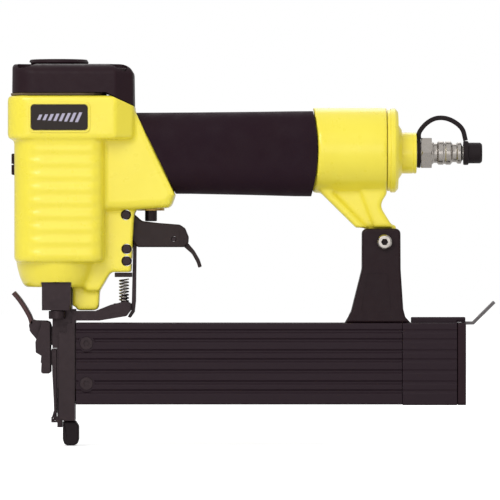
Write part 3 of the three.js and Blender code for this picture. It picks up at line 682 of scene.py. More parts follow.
def press_ribs(mesh):
    x0, x1, z0, z1 = RIB_FIELD
    for vertex in mesh.vertices:
        x, y, z = vertex.co
        if abs(y) < 20:
            continue
        groove = 0.5 + 0.5 * math.cos(math.tau * (z - RIB_TOP) / RIB_PITCH)
        reach = fade(x, x0, x1, 4.0) * fade(z, z0, z1, 2.0)
        vertex.co.y -= math.copysign(RIB_DEPTH * groove * reach, y)


def casting():
    lumps = [barrel(), collar(), *web(), handle_core(), rear_barrel(), *arm(), ears(), boss()]
    skin = joined(head_block(), *lumps)
    modified(skin, "REMESH", mode="VOXEL", voxel_size=0.85)
    modified(skin, "SMOOTH", factor=0.5, iterations=6)
    press_ribs(skin.data)
    return skin


def machined(skin):
    x, z = TRIGGER_PIN.x, TRIGGER_PIN.z
    slope = [(19, 180), (40, 180), (40, 165.4), (32.8, 168.7), (19, 174.9)]
    cuts = [
        block(-60, 60, -60, 60, HEAD_TOP, 200),
        rod("z", CYLINDER_AXIS, 86, 180, 18.2, 96),
        rod("z", CYLINDER_AXIS, 70, 90, 4.5),
        rod("x", HANDLE_AXIS, 5, 130, 12),
        rod("x", REAR_AXIS, 128, 162, 17, 96),
        rod("z", (40.5, 0, 0), 110, 140, 7),
        block(20, 40, -8.3, 8.3, 80, 116.8),
        block(20, 33.2, -8.3, 8.3, 80, 120),
        prism(slope, "y", -30, 30),
        block(-14, 1.25, -20, 20, 60, 79),
        *[block(-14, 1.25, y - 2.35, y + 2.35, 70, 81.6) for y in (-17.65, 17.65)],
        block(-30, -26.8, -7.3, 7.3, 134.7, 145.9),
        rod("y", (x, 0, z), -14, 14, 2.6),
        rod("y", CLAMP_AXIS, -10, 10, 3.1),
    ]
    cuts += [rod("z", (p.x, p.y, 0), 158, 176, 2.6) for p in CAP_SCREWS]
    cuts += [rod("z", (x, y, 0), 78, 85, 2.6) for x, y in NOSE_SCREWS]
    cuts += [rod("y", (p.x, 0, p.z), -13, 13, 2.6) for p in GUIDE_PINS]
    return cut(skin, *cuts)


def plate_frame():
    outer = prism(box_outline(-19.8, 10.8, 155.7, 170.8, 2.6), "y", -27.7, -26.4, 0.3, 2)
    return cut(outer, prism(box_outline(-18.8, 9.8, 156.7, 169.8, 1.8), "y", -29, -26.9))


housing = machined(joined(casting(), plate_frame()))
finished("casting", housing, enamel, "yellow_casting", "tool", "housing", sharp=45)


def front_vent():
    """The breather's cover: two black louvres that stand out of the barrel's front. Their black also stands
    in for the shade inside the vent's opening, as painted shade.
    """
    low, high = span("front_vent")
    seam = (low.z + high.z) / 2
    made = block(low.x, high.x, low.y, high.y, low.z, high.z, 0.6)
    return cut(made, block(low.x - 1, low.x + 1, low.y - 1, high.y + 1, seam - 0.3, seam + 0.3))


finished("breather_cover_painted_shade", front_vent(), nylon, "black_plastic", "tool", "front_vent")

# %% [markdown]
# ## Cap, plate and exhaust deflector
# The cap is moulded, so its shoulders are rounded and it draws in a little towards the top. It is a
# loft: the same outline is repeated up the cap and moved inwards along a quarter of an ellipse.


# %% Cap
def shoulder(below_top, run, drop):
    """How far a rounded shoulder has drawn in, at a distance below the top."""
    return run * (1 - math.sqrt(max(0.0, 1 - max(0.0, 1 - below_top / drop) ** 2)))


def cap():
    rings = []
    for below_top in (24.0, 5.4, 4.46, 3.55, 2.7, 1.93, 1.26, 0.72, 0.33, 0.08, 0.0):
        draft = 0.25 if below_top < 20 else 0.0
        wide = draft + shoulder(below_top, 7.5, 5.4)
        front = draft + shoulder(below_top, 1.6, 2.0)
        outline = rounded(inset(CAP_CORNERS, [wide, wide, wide, wide, wide, front]))
        rings.append([(u, v, CAP_TOP - below_top) for u, v in outline])
    made = lofted(rings)
    under = [(-40, 150), (40, 150), (40, 165.8), (32.8, 169.1), (18.4, 175.8), (-40, 175.8)]
    cuts = [
        prism(under, "y", -40, 40),
        rod("z", CYLINDER_AXIS, 165, 184, 17, 96),
        rod("z", CYLINDER_AXIS, 180, 195, 2.4),
        rod("z", (CYLINDER_X + 9, 0, 0), 180, 195, 3.5),
    ]
    for p in CAP_SCREWS:
        cuts.append(rod("z", (p.x, p.y, 0), 183, 196, 4.6))
        cuts.append(rod("z", (p.x, p.y, 0), 160, 190, 2.6))
    return cut(made, *cuts)


finished("cap", cap(), nylon, "black_plastic", "tool", "top_cap", bevel=0.35, segments=2)


# %% Deflector and plate
def deflector():
    corners = [(0, 190.3), (6, 190.3), (6, 191.4), (12, 191.4), (12, 190.3), (14.4, 190.3, 0.2)]
    corners += [(15, 191, 0.4), (14.2, 192.6, 0.5), (0, 192.6)]
    made = turned(rounded(corners), "z", CYLINDER_AXIS, 128)
    mouth = block(CYLINDER_X - 20, CYLINDER_X - 6, -5, 5, 189, 191.4)
    return cut(made, mouth, rod("z", CYLINDER_AXIS, 189, 194, 2.6), rod("z", CYLINDER_AXIS, 191.2, 194, 4.4))


finished("deflector", deflector(), nylon, "black_plastic", "deflector", "exhaust_deflector", sharp=30)


def name_plate():
    low, high = span("label_plate")
    made = prism(box_outline(low.x, high.x, low.z, high.z, 1.6), "y", low.y, high.y, 0.25)
    inside = box_outline(low.x + 1, high.x - 1, low.z + 1, high.z - 1, 0.9)
    return cut(made, prism(inside, "y", low.y - 1, low.y + 0.15))


finished("plate", name_plate(), plate_plastic, "label_plastic", "tool", "label_plate")


def speed_stripes():
    """A plain printed motif: slanted dashes that grow longer towards the back of the plate."""
    low, high = span("label_plate")
    middle = (low.z + high.z) / 2
    dashes = []
    for k in range(8):
        x, half = low.x + 3.6 + 2.75 * k, 1.3 + 0.16 * k
        lean = 0.45 * half
        corners = [(x - lean, middle - half), (x + 1.5 - lean, middle - half)]
        corners += [(x + 1.5 + lean, middle + half), (x + lean, middle + half)]
        dashes.append(prism(corners, "y", low.y + 0.08, low.y + 0.2))
    return joined(*dashes)


finished("plate_motif", speed_stripes(), ink, "label_plastic", "tool")

# %% [markdown]
# ## Screws by geometry nodes
# The same cap screw is used all over the tool in three sizes. One node tree makes a screw with a
# hexagon socket from its sizes and puts a copy on every point of the mesh it is given, so a set of
# screws is a list of points and five numbers.

# %% Screw tree
SCREW_SIZES = {
    "Head Radius": 4.2,
    "Head Height": 4.0,
    "Socket": 2.6,
    "Shank Radius": 2.3,
    "Shank Length": 20.0,
}


def group_with(name, sizes):
    """A geometry tree with a mesh in, a mesh out, and a named number for each size."""
    tree = bpy.data.node_groups.new(name, "GeometryNodeTree")
    tree.interface.new_socket("Geometry", in_out="INPUT", socket_type="NodeSocketGeometry")
    tree.interface.new_socket("Geometry", in_out="OUTPUT", socket_type="NodeSocketGeometry")
    for key, value in sizes.items():
        socket = tree.interface.new_socket(key, in_out="INPUT", socket_type="NodeSocketFloat")
        socket.default_value = value
    tree.interface.new_socket("Material", in_out="INPUT", socket_type="NodeSocketMaterial")
    return tree, add(tree, "NodeGroupInput").outputs


def ended(tree, size, geometry):
    """Ends a tree: the geometry is made real, painted with the given material and handed out."""
    real = add(tree, "GeometryNodeRealizeInstances", {"Geometry": geometry})
    inputs = {"Geometry": real.outputs["Geometry"], "Material": size["Material"]}
    painted = add(tree, "GeometryNodeSetMaterial", inputs)
    add(tree, "NodeGroupOutput", {"Geometry": painted.outputs["Geometry"]})
    return tree


def screw_tree():
    tree, size = group_with("socket_screws", SCREW_SIZES)

    def cylinder(count, radius, depth, middle):
        lift = add(tree, "ShaderNodeCombineXYZ", {"Z": middle})
        body = add(tree, "GeometryNodeMeshCylinder", {"Vertices": count, "Radius": radius, "Depth": depth})
        inputs = {"Geometry": body.outputs["Mesh"], "Translation": lift.outputs["Vector"]}
        return add(tree, "GeometryNodeTransform", inputs).outputs["Geometry"]

    tall, long = size["Head Height"], size["Shank Length"]
    head = cylinder(48, size["Head Radius"], tall, maths(tree, "MULTIPLY", tall, 0.5))
    shank = cylinder(32, size["Shank Radius"], long, maths(tree, "MULTIPLY", long, -0.49))
    socket = cylinder(6, size["Socket"], tall, tall)
    whole = add(tree, "GeometryNodeMeshBoolean", {"Mesh 2": head}, operation="UNION", solver="EXACT")
    tree.links.new(shank, whole.inputs["Mesh 2"])
    inputs = {"Mesh 1": whole.outputs["Mesh"], "Mesh 2": socket}
    hollow = add(tree, "GeometryNodeMeshBoolean", inputs, operation="DIFFERENCE", solver="EXACT")
    inputs = {"Points": size["Geometry"], "Instance": hollow.outputs["Mesh"]}
    copies = add(tree, "GeometryNodeInstanceOnPoints", inputs)
    return ended(tree, size, copies.outputs["Instances"])


socket_screws = screw_tree()


def grown(tree, seeds, material, **sizes):
    """Runs a geometry tree on a mesh and returns an object that holds the plain result."""
    modifier = seeds.modifiers.new("nodes", "NODES")
    modifier.node_group = tree
    keys = {item.name: item.identifier for item in tree.interface.items_tree if item.in_out == "INPUT"}
    modifier[keys["Material"]] = material
    for name, value in sizes.items():
        modifier[keys[name.replace("_", " ")]] = value
    result = bpy.data.meshes.new_from_object(seeds.evaluated_get(bpy.context.evaluated_depsgraph_get()))
    seeds.modifiers.clear()
    seeds.data = result
    return seeds


# %% Screws in place
def screws(points, facing, **sizes):
    """Screws whose heads sit on the points and face a way. They are grown upright, then turned."""
    turn = Vector(facing).to_track_quat("Z", "Y").to_matrix().to_4x4()
    shape = bmesh.new()
    for point in points:
        shape.verts.new(turn.inverted() @ Vector(point))
    made = grown(socket_screws, as_object("screws", shape), oxide_steel, **sizes)
    made.data.transform(turn)
    return made


cap_screws = screws([(p.x, p.y, 183.8) for p in CAP_SCREWS], (0, 0, 1), Shank_Length=23.0)
oxidised("cap_screws", cap_screws, "tool", *CAP_SCREW_NODES, bevel=0.3)

sizes = {"Head_Radius": 4.0, "Head_Height": 1.0, "Socket": 1.7, "Shank_Radius": 2.0, "Shank_Length": 7.0}
deflector_screw = screws([(CYLINDER_X, 0, 191.5)], (0, 0, 1), **sizes)
oxidised("deflector_screw_fine", deflector_screw, "tool", "deflector_screw", bevel=0.15)

nose_screws = screws([(x, y, 67.2) for x, y in NOSE_SCREWS], (0, 0, -1), Shank_Length=16.5)
oxidised("nose_screws", nose_screws, "tool", "nose_screw_1", "nose_screw_2", bevel=0.3)

side_low, side_high = span("magazine_screw_1")
sizes = {"Head_Radius": 3.2, "Head_Height": 1.9, "Socket": 1.6, "Shank_Radius": 1.5, "Shank_Length": 6.8}
SIDE_SCREWS = [(8.5, 31), (8.5, 51)]
side_screws = screws([(x, side_low.y + 1.9, z) for x, z in SIDE_SCREWS], (0, -1, 0), **sizes)
oxidised("side_screws", side_screws, "tool", "magazine_screw_1", "magazine_screw_2", bevel=0.2)

# %% [markdown]
# ## Handle
# The grip is a rubber sleeve slipped over the handle. It swells a little towards the rear and ends in
# a bowed face. It is lofted through rounded sections, hollowed for the handle's core, and cut along
# the slanting seam of the casting.


# %% Grip
def grip():
    stations = [(25, 125.6, 166.0, 17.6), (60, 125.6, 166.2, 17.7), (90, 125.0, 166.5, 17.9)]
    stations += [(112, 124.4, 166.8, 18), (126, 124.3, 166.9, 18)]
    rings = []
    for x, z0, z1, half in stations:
        corners = [(-half, z0), (half, z0), (half, z1), (-half, z1)]
        rings.append([(x, y, z) for y, z in rounded(corners, 14, 5)])
    bore = prism(box_outline(-15.3, 15.3, 127.9, 163.9, 12.3), "x", 20, 130)
    before = prism([(0, 200), (16.6, 200), (53.4, 124.6), (66, 98), (0, 98)], "y", -40, 40)
    bow = rod("y", (36.0, 0, REAR_Z), -30, 30, 87.6, 256)
    return cut(common(lofted(rings), bow), bore, before)


finished("grip", grip(), elastomer, "grip_rubber", "tool", "grip_sleeve", bevel=1.2, segments=4)


# %% [markdown]
# The end cap, the air plug and the dust cap are turned pieces, so each is a profile on the axis of
# its bore. The plug's hexagon is joined on.

# %% End cap and air plug
def end_cap():
    corners = [(0, 150), (16.6, 150), (16.6, 158.5), (20.3, 158.5, 0.2), (20.3, 160, 0.2)]
    corners += [(21, 160.2, 0.4), (21, 162.5, 1.0), (19.2, 164, 0.8), (0, 164)]
    flange = turned(rounded(corners), "x", REAR_AXIS, 128)
    corners = [(0, 160), (10.6, 160), (10.25, 166, 1), (10.25, 171.2, 0.2), (10.0, 171.5, 0.2)]
    corners += [(10.25, 171.9, 0.2), (10.25, 173.2, 0.5), (0, 173.2)]
    neck = turned(rounded(corners), "x", HANDLE_AXIS)
    corners = [(0, 161), (14.5, 161), (14.5, 163.6), (11.2, 165.8), (0, 165.8)]
    ramp = turned(corners, "x", (0, 0, HANDLE_Z + 0.4), 96)
    return cut(joined(flange, neck, ramp), rod("x", HANDLE_AXIS, 140, 180, 6))


finished("rear_cap", end_cap(), enamel, "yellow_casting", "tool", "handle_end_cap", bevel=0.25, segments=2)


def air_plug():
    corners = [(0, 156), (5.6, 156), (5.6, 181.2, 0.3), (5, 182, 0.2), (5, 183.4, 0.3), (5.9, 184.2, 0.3)]
    corners += [(5.9, 186.4, 0.2), (5.5, 186.9, 0.2), (5.5, 187.5, 0.2), (5.9, 188, 0.2), (5.9, 190.2, 0.4)]
    corners += [(4.6, 191.2, 0.3), (4.6, 193, 0.4), (5.4, 193.8, 0.3), (5.4, 195.4, 0.3), (3.6, 196, 0.3)]
    corners += [(3.6, 203, 0.6), (0, 203)]
    plug = turned(rounded(corners), "x", HANDLE_AXIS)
    hexagon = prism(circle(0, HANDLE_Z, 8.6, 6), "x", 175.6, 180.8)
    corners = [(0, 175), (7.6, 175.4), (8.7, 176.3), (8.7, 180.1), (7.6, 181), (0, 181.4)]
    crown = turned(corners, "x", HANDLE_AXIS)
    return cut(joined(plug, common(hexagon, crown)), rod("x", HANDLE_AXIS, 150, 210, 2.5))


finished("plug", air_plug(), nickel, "bright_steel", "tool", "air_plug", bevel=0.15, segments=2)


# %% Dust cap
def dust_cap():
    corners = [(4.1, 196.6, 0.2), (6, 196.6, 0.5), (6, 199, 0.5), (5.2, 199.3, 0.2), (5.2, 205, 0.8)]
    corners += [(4.4, 206, 0.6), (0, 206), (0, 203.6), (4.1, 203.6)]
    return turned(rounded(corners), "x", HANDLE_AXIS)


finished("dust_cap_fine", dust_cap(), nitrile, "ring_rubber", "dust_cap", "dust_cap")


# %% [markdown]
# The strap that keeps the dust cap is moulded with a ring that hugs the plug. A flat section is swept
# along a smooth curve. The cap pulls off.

# %% Strap
TETHER = [(174.4, 153), (174.7, 156.4), (178, 160.6), (182.5, 163.2)]
TETHER += [(187.5, 163.4), (192.4, 161.4), (196.2, 157.8), (197.8, 152.2)]


def through(points, steps=8):
    """A smooth curve through the points, as Catmull and Rom drew it."""
    ends = [2 * points[0] - points[1], *points, 2 * points[-1] - points[-2]]
    curve = []
    for a, b, c, d in zip(ends, ends[1:], ends[2:], ends[3:]):
        for k in range(steps):
            t = k / steps
            square, cube = 2 * a - 5 * b + 4 * c - d, 3 * b - a - 3 * c + d
            curve.append((2 * b + (c - a) * t + square * t**2 + cube * t**3) / 2)
    return curve + [points[-1]]


def swept(path, section, start_side=Vector((0, 1, 0))):
    """A section carried along a path. Its first axis starts along start_side and never twists."""
    rings = []
    side = start_side
    for i, point in enumerate(path):
        along = (path[min(i + 1, len(path) - 1)] - path[max(i - 1, 0)]).normalized()
        side = (side - along * side.dot(along)).normalized()
        up = along.cross(side)
        rings.append([point + side * a + up * b for a, b in section])
    return lofted(rings)


def strap():
    path = through([Vector((x, 0, z)) for x, z in TETHER])
    band = swept(path, box_outline(-1.3, 1.3, -1.15, 1.15, 0.6))
    ring = turned(box_outline(5.9, 7.4, 173.5, 175.3, 0.4), "x", HANDLE_AXIS)
    return joined(band, ring)


bends = ("tool", "dust_cap", (0.176, 0, 0.160), (0.197, 0, 0.155))
finished("strap", strap(), nitrile, "ring_rubber", bends, "dust_cap_tether")

# %% [markdown]
# ## Trigger
# The trigger is a hollow moulding with a rounded nose. Its tail is a thin hook that stops a finger
# from slipping off.


# %% Trigger
def trigger():
    walls = [(25, 112.5, 1.5), (26.5, 108, 2), (33.8, 98.9, 2), (57.2, 98.9, 1.2), (59.2, 100.9, 1.4)]
    walls += [(59.4, 104, 2), (57.6, 108.4, 2), (55, 110.2, 2), (44.5, 111, 6), (36, 112, 4), (31, 116.5, 1)]
    made = prism(rounded(walls), "y", -7.4, 7.4, 0.9)
    pivot = rod("y", (TRIGGER_PIN.x, 0, TRIGGER_PIN.z), -7.4, 7.4, 4.2, 64, 0.4)
    outside = [(56, 100.8), (57.2, 98.9, 2), (61, 95.6, 6), (63.4, 91.2, 8), (64.2, 88.6, 0.4)]
    outside += [(65.9, 89.2, 0.4), (64.9, 92.6, 8), (62.2, 97.2, 8), (59, 101, 1)]
    tail = prism(rounded(outside), "y", -5.5, 5.5, 0.4)
    idler = centre("idler_pin")
    cuts = [
        block(20, 56.6, -5.3, 5.3, 100.3, 125),
        block(20, 34.4, -5.3, 5.3, 90, 125),
        rod("y", (TRIGGER_PIN.x, 0, TRIGGER_PIN.z), -9, 9, 2.6),
        rod("y", (idler.x, 0, idler.z), -9, 9, 1.3),
    ]
    # two fine lines across the finger's end of each wall
    for x in (55.0, 57.0):
        for y in (-8.2, 8.2):
            cuts.append(block(x - 0.25, x + 0.25, y - 1, y + 1, 100.5, 107.5))
    return cut(joined(made, pivot, tail), *cuts)


finished("trigger_fine", trigger(), acetal, "trigger_plastic", "trigger", "trigger", bevel=0.2, segments=2)
idler_lever = refined("trigger_idler")
finished("idler_lever", idler_lever, nickel, "bright_steel", "idler", "trigger_idler", bevel=0.25)

# %% [markdown]
# ## Pins by geometry nodes
# A dowel pin is a straight bar with a chamfer at both ends. The tree sweeps a circle along the edge
# that it is given and narrows the ends, so one edge in a mesh is one pin.

# %% Pin tree
PIN_SIZES = {"Radius": 2.3, "Chamfer": 0.4}


def pin_tree():
    tree, size = group_with("dowel_pins", PIN_SIZES)
    line = add(tree, "GeometryNodeMeshToCurve", {"Mesh": size["Geometry"]})
    length = add(tree, "GeometryNodeSplineLength").outputs["Length"]
    gone = add(tree, "GeometryNodeSplineParameter").outputs["Length"]
    near = maths(tree, "MINIMUM", maths(tree, "SUBTRACT", length, gone), gone)
    less = maths(tree, "SUBTRACT", size["Chamfer"], near, use_clamp=True)
    radius = maths(tree, "SUBTRACT", size["Radius"], less)
    inputs = {"Curve": line.outputs["Curve"], "Length": size["Chamfer"]}
    fine = add(tree, "GeometryNodeResampleCurve", inputs, mode="LENGTH")
    inputs = {"Curve": fine.outputs["Curve"], "Radius": radius}
    shaped = add(tree, "GeometryNodeSetCurveRadius", inputs)
    ring = add(tree, "GeometryNodeCurvePrimitiveCircle", {"Resolution": 48, "Radius": 1.0})
    inputs = {"Curve": shaped.outputs["Curve"], "Profile Curve": ring.outputs["Curve"], "Fill Caps": True}
    inputs["Scale"] = add(tree, "GeometryNodeInputRadius").outputs["Radius"]
    return ended(tree, size, add(tree, "GeometryNodeCurveToMesh", inputs).outputs["Mesh"])


dowel_pins = pin_tree()


def pins(nodes, material, **sizes):
    """A pin along Y in place of each packed pin."""
    shape = bmesh.new()
    for node in nodes:
        (low, high), middle = span(node), centre(node)
        ends = [shape.verts.new((middle.x, y, middle.z)) for y in (low.y, high.y)]
        shape.edges.new(ends)
    return grown(dowel_pins, as_object("pins", shape), material, **sizes)


def recalculated(made):
    shape = bmesh.new()
    shape.from_mesh(made.data)
    bmesh.ops.remove_doubles(shape, verts=shape.verts, dist=1e-5)
    bmesh.ops.recalc_face_normals(shape, faces=shape.faces)
    shape.to_mesh(made.data)
    shape.free()
    return made


BODY_PINS = ["trigger_pin", "guide_pin_upper", "guide_pin_lower"]
oxidised("body_pins", recalculated(pins(BODY_PINS, oxide_steel)), "tool", *BODY_PINS)
for node, body, material, slot, radius in [
    ("idler_pin", "trigger", oxide_steel, "black_steel", 1.2),
    ("latch_pin", "tool", oxide_steel, "bright_steel", 1.1),
    ("door_pin", "tool", oxide_steel, "bright_steel", 0.7),
    ("release_pin", "magazine_slider", nickel, "bright_steel", 1.0),
]:
    pin = recalculated(pins([node], material, Radius=radius, Chamfer=0.2))
    finished(node + "_fine", pin, material, slot, body, node)

# %% [markdown]
# ## Springs by geometry nodes
# A compression spring is wire wound on a helix. The tree draws the helix with the Curve Spiral node
# and sweeps a circle along it.

# %% Spring tree
SPRING_SIZES = {"Coil Radius": 2.2, "Wire": 0.8, "Length": 12.0, "Turns": 6.0}


def spring_tree():
    tree, size = group_with("coil_spring", SPRING_SIZES)
    inputs = {"Resolution": 28, "Rotations": size["Turns"], "Height": size["Length"]}
    inputs |= {"Start Radius": size["Coil Radius"], "End Radius": size["Coil Radius"]}
    helix = add(tree, "GeometryNodeCurveSpiral", inputs)
    inputs = {"Resolution": 12, "Radius": maths(tree, "MULTIPLY", size["Wire"], 0.5)}
    wire = add(tree, "GeometryNodeCurvePrimitiveCircle", inputs)
    inputs = {"Curve": helix.outputs["Curve"], "Profile Curve": wire.outputs["Curve"], "Fill Caps": True}
    return ended(tree, size, add(tree, "GeometryNodeCurveToMesh", inputs).outputs["Mesh"])


coil_spring = spring_tree()


def spring(name, node, bodies, axis, wire, turns):
    """A spring in place of a packed one, laid along the axis from the packed spring's low end."""
    (low, high), middle = span(node), centre(node)
    along = "xyz".index(axis)
    outer = (high - low)[(along + 1) % 3] / 2
    length = high[along] - low[along] - wire
    sizes = {"Coil_Radius": outer - wire / 2, "Wire": wire, "Length": length, "Turns": turns}
    made = recalculated(grown(coil_spring, as_object(name, bmesh.new()), nickel, **sizes))
    turn = Vector((0, 0, 1)).rotation_difference(Vector([float(i == along) for i in range(3)]))
    middle[along] = low[along] + wire / 2
    made.data.transform(Matrix.Translation(middle) @ turn.to_matrix().to_4x4())
    start, end = Vector(middle), Vector(middle)
    start[along], end[along] = high[along], low[along]
    finished(name, made, nickel, "bright_steel", (*bodies, tuple(start * MM), tuple(end * MM)), node)


spring("safety_coil", "safety_spring", ("tool", "safety"), "z", 0.8, 7.0)
spring("head_coil", "head_valve_spring", ("tool", "head_valve"), "z", 1.6, 4.5)
spring("valve_coil", "valve_spring", ("tool", "valve_stem"), "z", 0.6, 5.0)
spring("magazine_coil", "pusher_spring", ("magazine_slider", "pusher"), "x", 0.9, 42.0)

# %% [markdown]
# ## Safety, nose, door and latch
# These are steel pressings and machined blocks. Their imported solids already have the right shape,
# so they are merged into clean faces and their edges are broken, as deburring does.

# %% Steel pieces
for node, body, size in [
    ("spring_plate", "tool", 0.25),
    ("safety_yoke", "safety", 0.3),
    ("safety_rod", "safety", 0.3),
    ("nose_body", "tool", 0.5),
    ("nose_door", "door", 0.4),
]:
    oxidised(node + "_fine", refined(node), body, node, bevel=size)

# a peg on the yoke's arm keeps the foot of the safety spring in place
foot = span("safety_spring")[0].z
peg = rod("z", (centre("safety_spring").x, 0, 0), foot - 1.2, foot + 3.2, 1.55, 48, 0.3)
oxidised("spring_peg", peg, "safety")


# %% No-mar tip
def no_mar_tip():
    corners = [(-3.4, 12.1, 0.5), (-3.4, 3, 1.5), (-2.6, 0.8, 1), (-1.2, 0, 0.8), (2.2, 0, 0.8)]
    corners += [(3.8, 0.8, 1), (4.5, 3, 1.5), (4.5, 9.5, 1.5), (2.9, 12.1, 0.5)]
    made = prism(rounded(corners), "y", -8, 8, 1.0)
    return cut(made, block(-1.7, 2.2, -5.3, 5.3, 6.2, 14))


finished("tip", no_mar_tip(), nitrile, "ring_rubber", "safety", "no_mar_tip", bevel=0.2, segments=2)


# %% [markdown]
# The latch is a toggle. A stamped lever turns on a pin through the nose, and a bail of two flat links
# hangs from it and pulls the door's lug with its bar. The lever's thumb tab is curved outwards.

# %% Latch
LINK_HALF = 2.3
BAIL_BAR_RADIUS = 0.9


def latch_cheeks():
    eye = span("latch_bail")[1].z - LINK_HALF
    pivot = centre("latch_pin")
    corners = [(-10, 51.9, 0.8), (-9.4, 53, 0.6), (-9.2, 60, 1.5), (-11, 62.2, 1), (-16.8, 62.4)]
    corners += [(-19.2, 63, 1), (-20.4, 60, 2), (-19.6, 56.6, 2), (-15.4, 51.6, 1.5), (-12, 51.1, 1)]
    made = prism(rounded(corners), "y", -7, -5, 0.4)
    made = joined(made, prism(rounded(corners), "y", 5, 7, 0.4), block(-20, -18.4, -6, 6, 57, 60.4, 0.3))
    return cut(made, *[rod("y", (pivot.x, 0, z), -9, 9, 1.3) for z in (pivot.z, eye)])


def latch_tab():
    """Pressed from 2.2 mm strip and hooked over the cheeks, with a lazy outward curve."""
    points = [(-18.9, 60.8), (-20, 64.2), (-22.3, 68.4), (-25.1, 72.6), (-28.1, 76.2)]
    path = through([Vector((x, 0, z)) for x, z in points])
    return swept(path, box_outline(-7, 7, -1.1, 1.1, 0.6))


finished(
    "latch_cheeks",
    latch_cheeks(),
    oxide_steel,
    "bronzed_steel",
    "latch",
    "latch_lever",
    bevel=0.15,
    segments=2,
)
finished("latch_tab", latch_tab(), bronzed, "bronzed_steel", "latch")


def bail():
    low, high = span("latch_bail")
    half = LINK_HALF
    bar = Vector((-11.8, 0, low.z + half))
    eye = Vector((-12, 0, high.z - half))
    across = [(eye.x - half, eye.z), (eye.x - half, high.z, half), (eye.x + half, high.z, half)]
    across += [(eye.x + half, eye.z), (bar.x + half, bar.z), (bar.x + half, low.z, half)]
    across += [(bar.x - half, low.z, half), (bar.x - half, bar.z), (-13.7, 44.6, 0.6), (-16.8, 46.4, 0.8)]
    across += [(-17, 51.6, 1.5)]
    sides = ((low.y, low.y + 1.2), (high.y - 1.2, high.y))
    links = [prism(rounded(across), "y", y0, y1, 0.25, 2) for y0, y1 in sides]
    reach = high.y - 0.7
    bars = [(bar, -reach, reach), (eye, -reach, -5.3), (eye, 5.3, reach)]
    return joined(*links, *[rod("y", tuple(at), y0, y1, BAIL_BAR_RADIUS) for at, y0, y1 in bars])


oxidised("bail_fine", bail(), "bail", "latch_bail", bevel=0.15, segments=2)

# %% [markdown]
# ## Magazine
# The magazine is an aluminium extrusion with long grooves in both faces. It is the section drawn once
# and run along the length. The end block slides with the inner rail, and has the same section, a
# little wider.

# %% Magazine
GROOVES = [27, 31.5, 37, 42.5, 47, 52.5, 57]
BASE_SCREW = centre("bracket_base_screw")
magazine_low, magazine_high = span("magazine_body")
rail_low, rail_high = span("sliding_rail")


def section(half, z0, z1, depth):
    right = [(half, z0, 0.8)]
    for z in GROOVES:
        lip, floor = (half, 0.5), (half - depth, 0.4 * depth)
        for (y, r), dz in ((lip, -1.1), (floor, -0.45), (floor, 0.45), (lip, 1.1)):
            right.append((y, z + dz, r))
    right.append((half, z1, 0.8))
    left = [(-y, z, r) for y, z, r in reversed(right)]
    return rounded(right + left, 0, 15)


def magazine():
    low, high = magazine_low, magazine_high
    made = prism(section(high.y, low.z, high.z, 0.65), "x", low.x, high.x + 0.2, 0.2, 2)
    wide = rail_high.y + 0.3
    cuts = [block(0, 200, -wide, wide, rail_low.z - 0.4, rail_high.z + 0.4)]
    pads = []
    for x, z in SIDE_SCREWS:
        pads.append(rod("y", (x, 0, z), low.y, low.y + 1.5, 4.3, 64, 0.2))
        cuts.append(rod("y", (x, 0, z), -20, -7, 1.8))
        cuts.append(rod("y", (x, 0, z), -20, low.y + 2.3, 3.35))
    cuts.append(rod("z", (BASE_SCREW.x, 0, 0), 50, 64, 2.6))
    return cut(joined(made, *pads), *cuts)


finished("magazine", magazine(), anodised, "black_aluminium", "tool", "magazine_body", sharp=30)


def end_block():
    low, high = span("end_block")
    made = prism(section(high.y, low.z, 61.2, 0.3), "x", low.x, 193.2, 0.3, 2)
    top = prism(box_outline(-9, 9, 58, high.z, 1), "x", 170.6, 193.2, 0.5, 2)
    lid = prism(box_outline(-9, 9, 62.3, high.z, 0.5), "x", 190, high.x, 0.2, 2)
    sides = [block(190, high.x, y - 1.8, y + 1.8, 61.5, 63, 0.2) for y in (-6.8, 6.8)]
    made = joined(made, top, lid, *sides)
    slot = block(160, 192.3, -rail_high.y - 0.3, rail_high.y + 0.3, rail_low.z - 0.3, rail_high.z + 0.3)
    return cut(made, slot)


sliding_end = end_block()
finished("end_block_fine", sliding_end, anodised, "black_aluminium", "magazine_slider", "end_block", sharp=30)

for name, node, material, slot, body, size in [
    ("end_plate_fine", "end_plate", nylon, "black_plastic", "magazine_slider", 0.5),
    ("rail", "sliding_rail", aluminium, "bare_aluminium", "magazine_slider", 0.3),
    ("pusher_fine", "pusher", nickel, "bright_steel", "pusher", 0.3),
    ("release", "release_lever", grey_steel, "bright_steel", "release", 0.25),
]:
    finished(name, refined(node), material, slot, body, node, bevel=size)


# %% [markdown]
# ## Rear bracket
# The bracket is a coated casting that ties the magazine to the arm. Its foot flares out over the
# magazine, its cheeks take the arm's tongue, and a bright hexagon-socket screw clamps them.

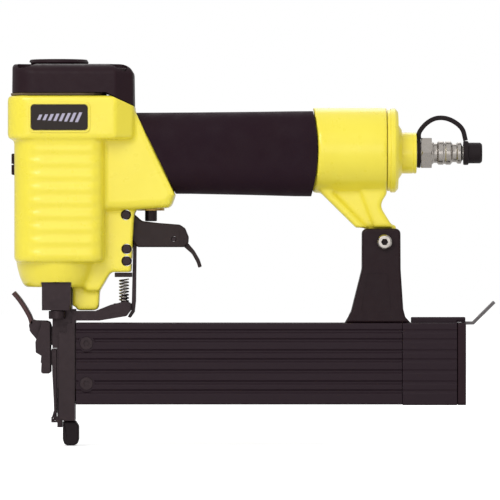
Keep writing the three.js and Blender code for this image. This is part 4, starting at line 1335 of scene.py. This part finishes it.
# %% Bracket
def bracket():
    corners = [(137.5, 61.3), (170, 61.3), (167.4, 64.2, 2), (166.4, 68, 2), (165.1, 88)]
    corners += [(165, 108.2, 2.6), (146, 108.2, 2.6), (145.9, 88, 8), (140.6, 67, 4), (139, 63.8, 2)]
    made = prism(rounded(corners), "y", -11, 11, 1.3, 4)
    cuts = [
        block(140, 170, -5.6, 5.6, 92, 120),
        rod("y", CLAMP_AXIS, -20, 20, 3.1),
        rod("z", (BASE_SCREW.x, 0, 0), 60, 73, 2.6),
    ]
    panel = rounded([(148.6, 86), (158.8, 86), (160.4, 66.5), (145.2, 66.5)], 1.5)
    cuts += [prism(panel, "y", y0, y1) for y0, y1 in ((-14, -10.75), (10.75, 14))]
    return cut(made, *cuts)


finished("bracket", bracket(), powder_coat, "bracket_casting", "tool", "rear_bracket", bevel=0.3)


def bracket_screw():
    corners = [(0, -14.4), (3.0, -14.4, 0.3), (3.7, -13.6, 0.4), (3.7, -11.3), (0, -11.3)]
    head = turned(rounded(corners), "y", CLAMP_AXIS)
    made = joined(head, rod("y", CLAMP_AXIS, -11.6, 14.6, 2.7, 64, 0.4))
    return cut(made, prism(circle(SCREW.x, SCREW.z, 1.8, 6), "y", -15, -11.6))


finished(
    "clamp_screw", bracket_screw(), nickel, "bright_steel", "tool", "bracket_screw", bevel=0.12, segments=2
)

# painted shade: a black disc at the bottom of the socket stands in for the shade deep inside it
socket_shade_disc = rod("y", CLAMP_AXIS, -13.2, -11.5, 1.7)
finished("socket_painted_shade", socket_shade_disc, nitrile, "ring_rubber", "tool")
finished("clamp_nut", refined("bracket_nut"), nickel, "bright_steel", "tool", "bracket_nut", bevel=0.4)

# %% [markdown]
# ## Inner pieces
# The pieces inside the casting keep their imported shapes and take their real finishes.

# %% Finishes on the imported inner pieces
INNER = {
    "head_valve": aluminium,
    "cylinder_sleeve": aluminium,
    "bumper": polyurethane,
    "piston": aluminium,
    "piston_ring": nitrile,
    "driver_blade": nickel,
    "cap_gasket": board,
    "valve_body": brass,
    "valve_stem": oxide_steel,
    "spring_rod": nickel,
    "bracket_base_screw": oxide_steel,
}
for node, material in INNER.items():
    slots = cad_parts[node].data.materials
    slots.clear()
    slots.append(material)
print(len(INNER), "packed pieces finished")

# %% Finish
low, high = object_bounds()
sizes = {"cad": [list(cad_low), list(cad_high)], "visual": [list(low), list(high)]}
print(sizes)
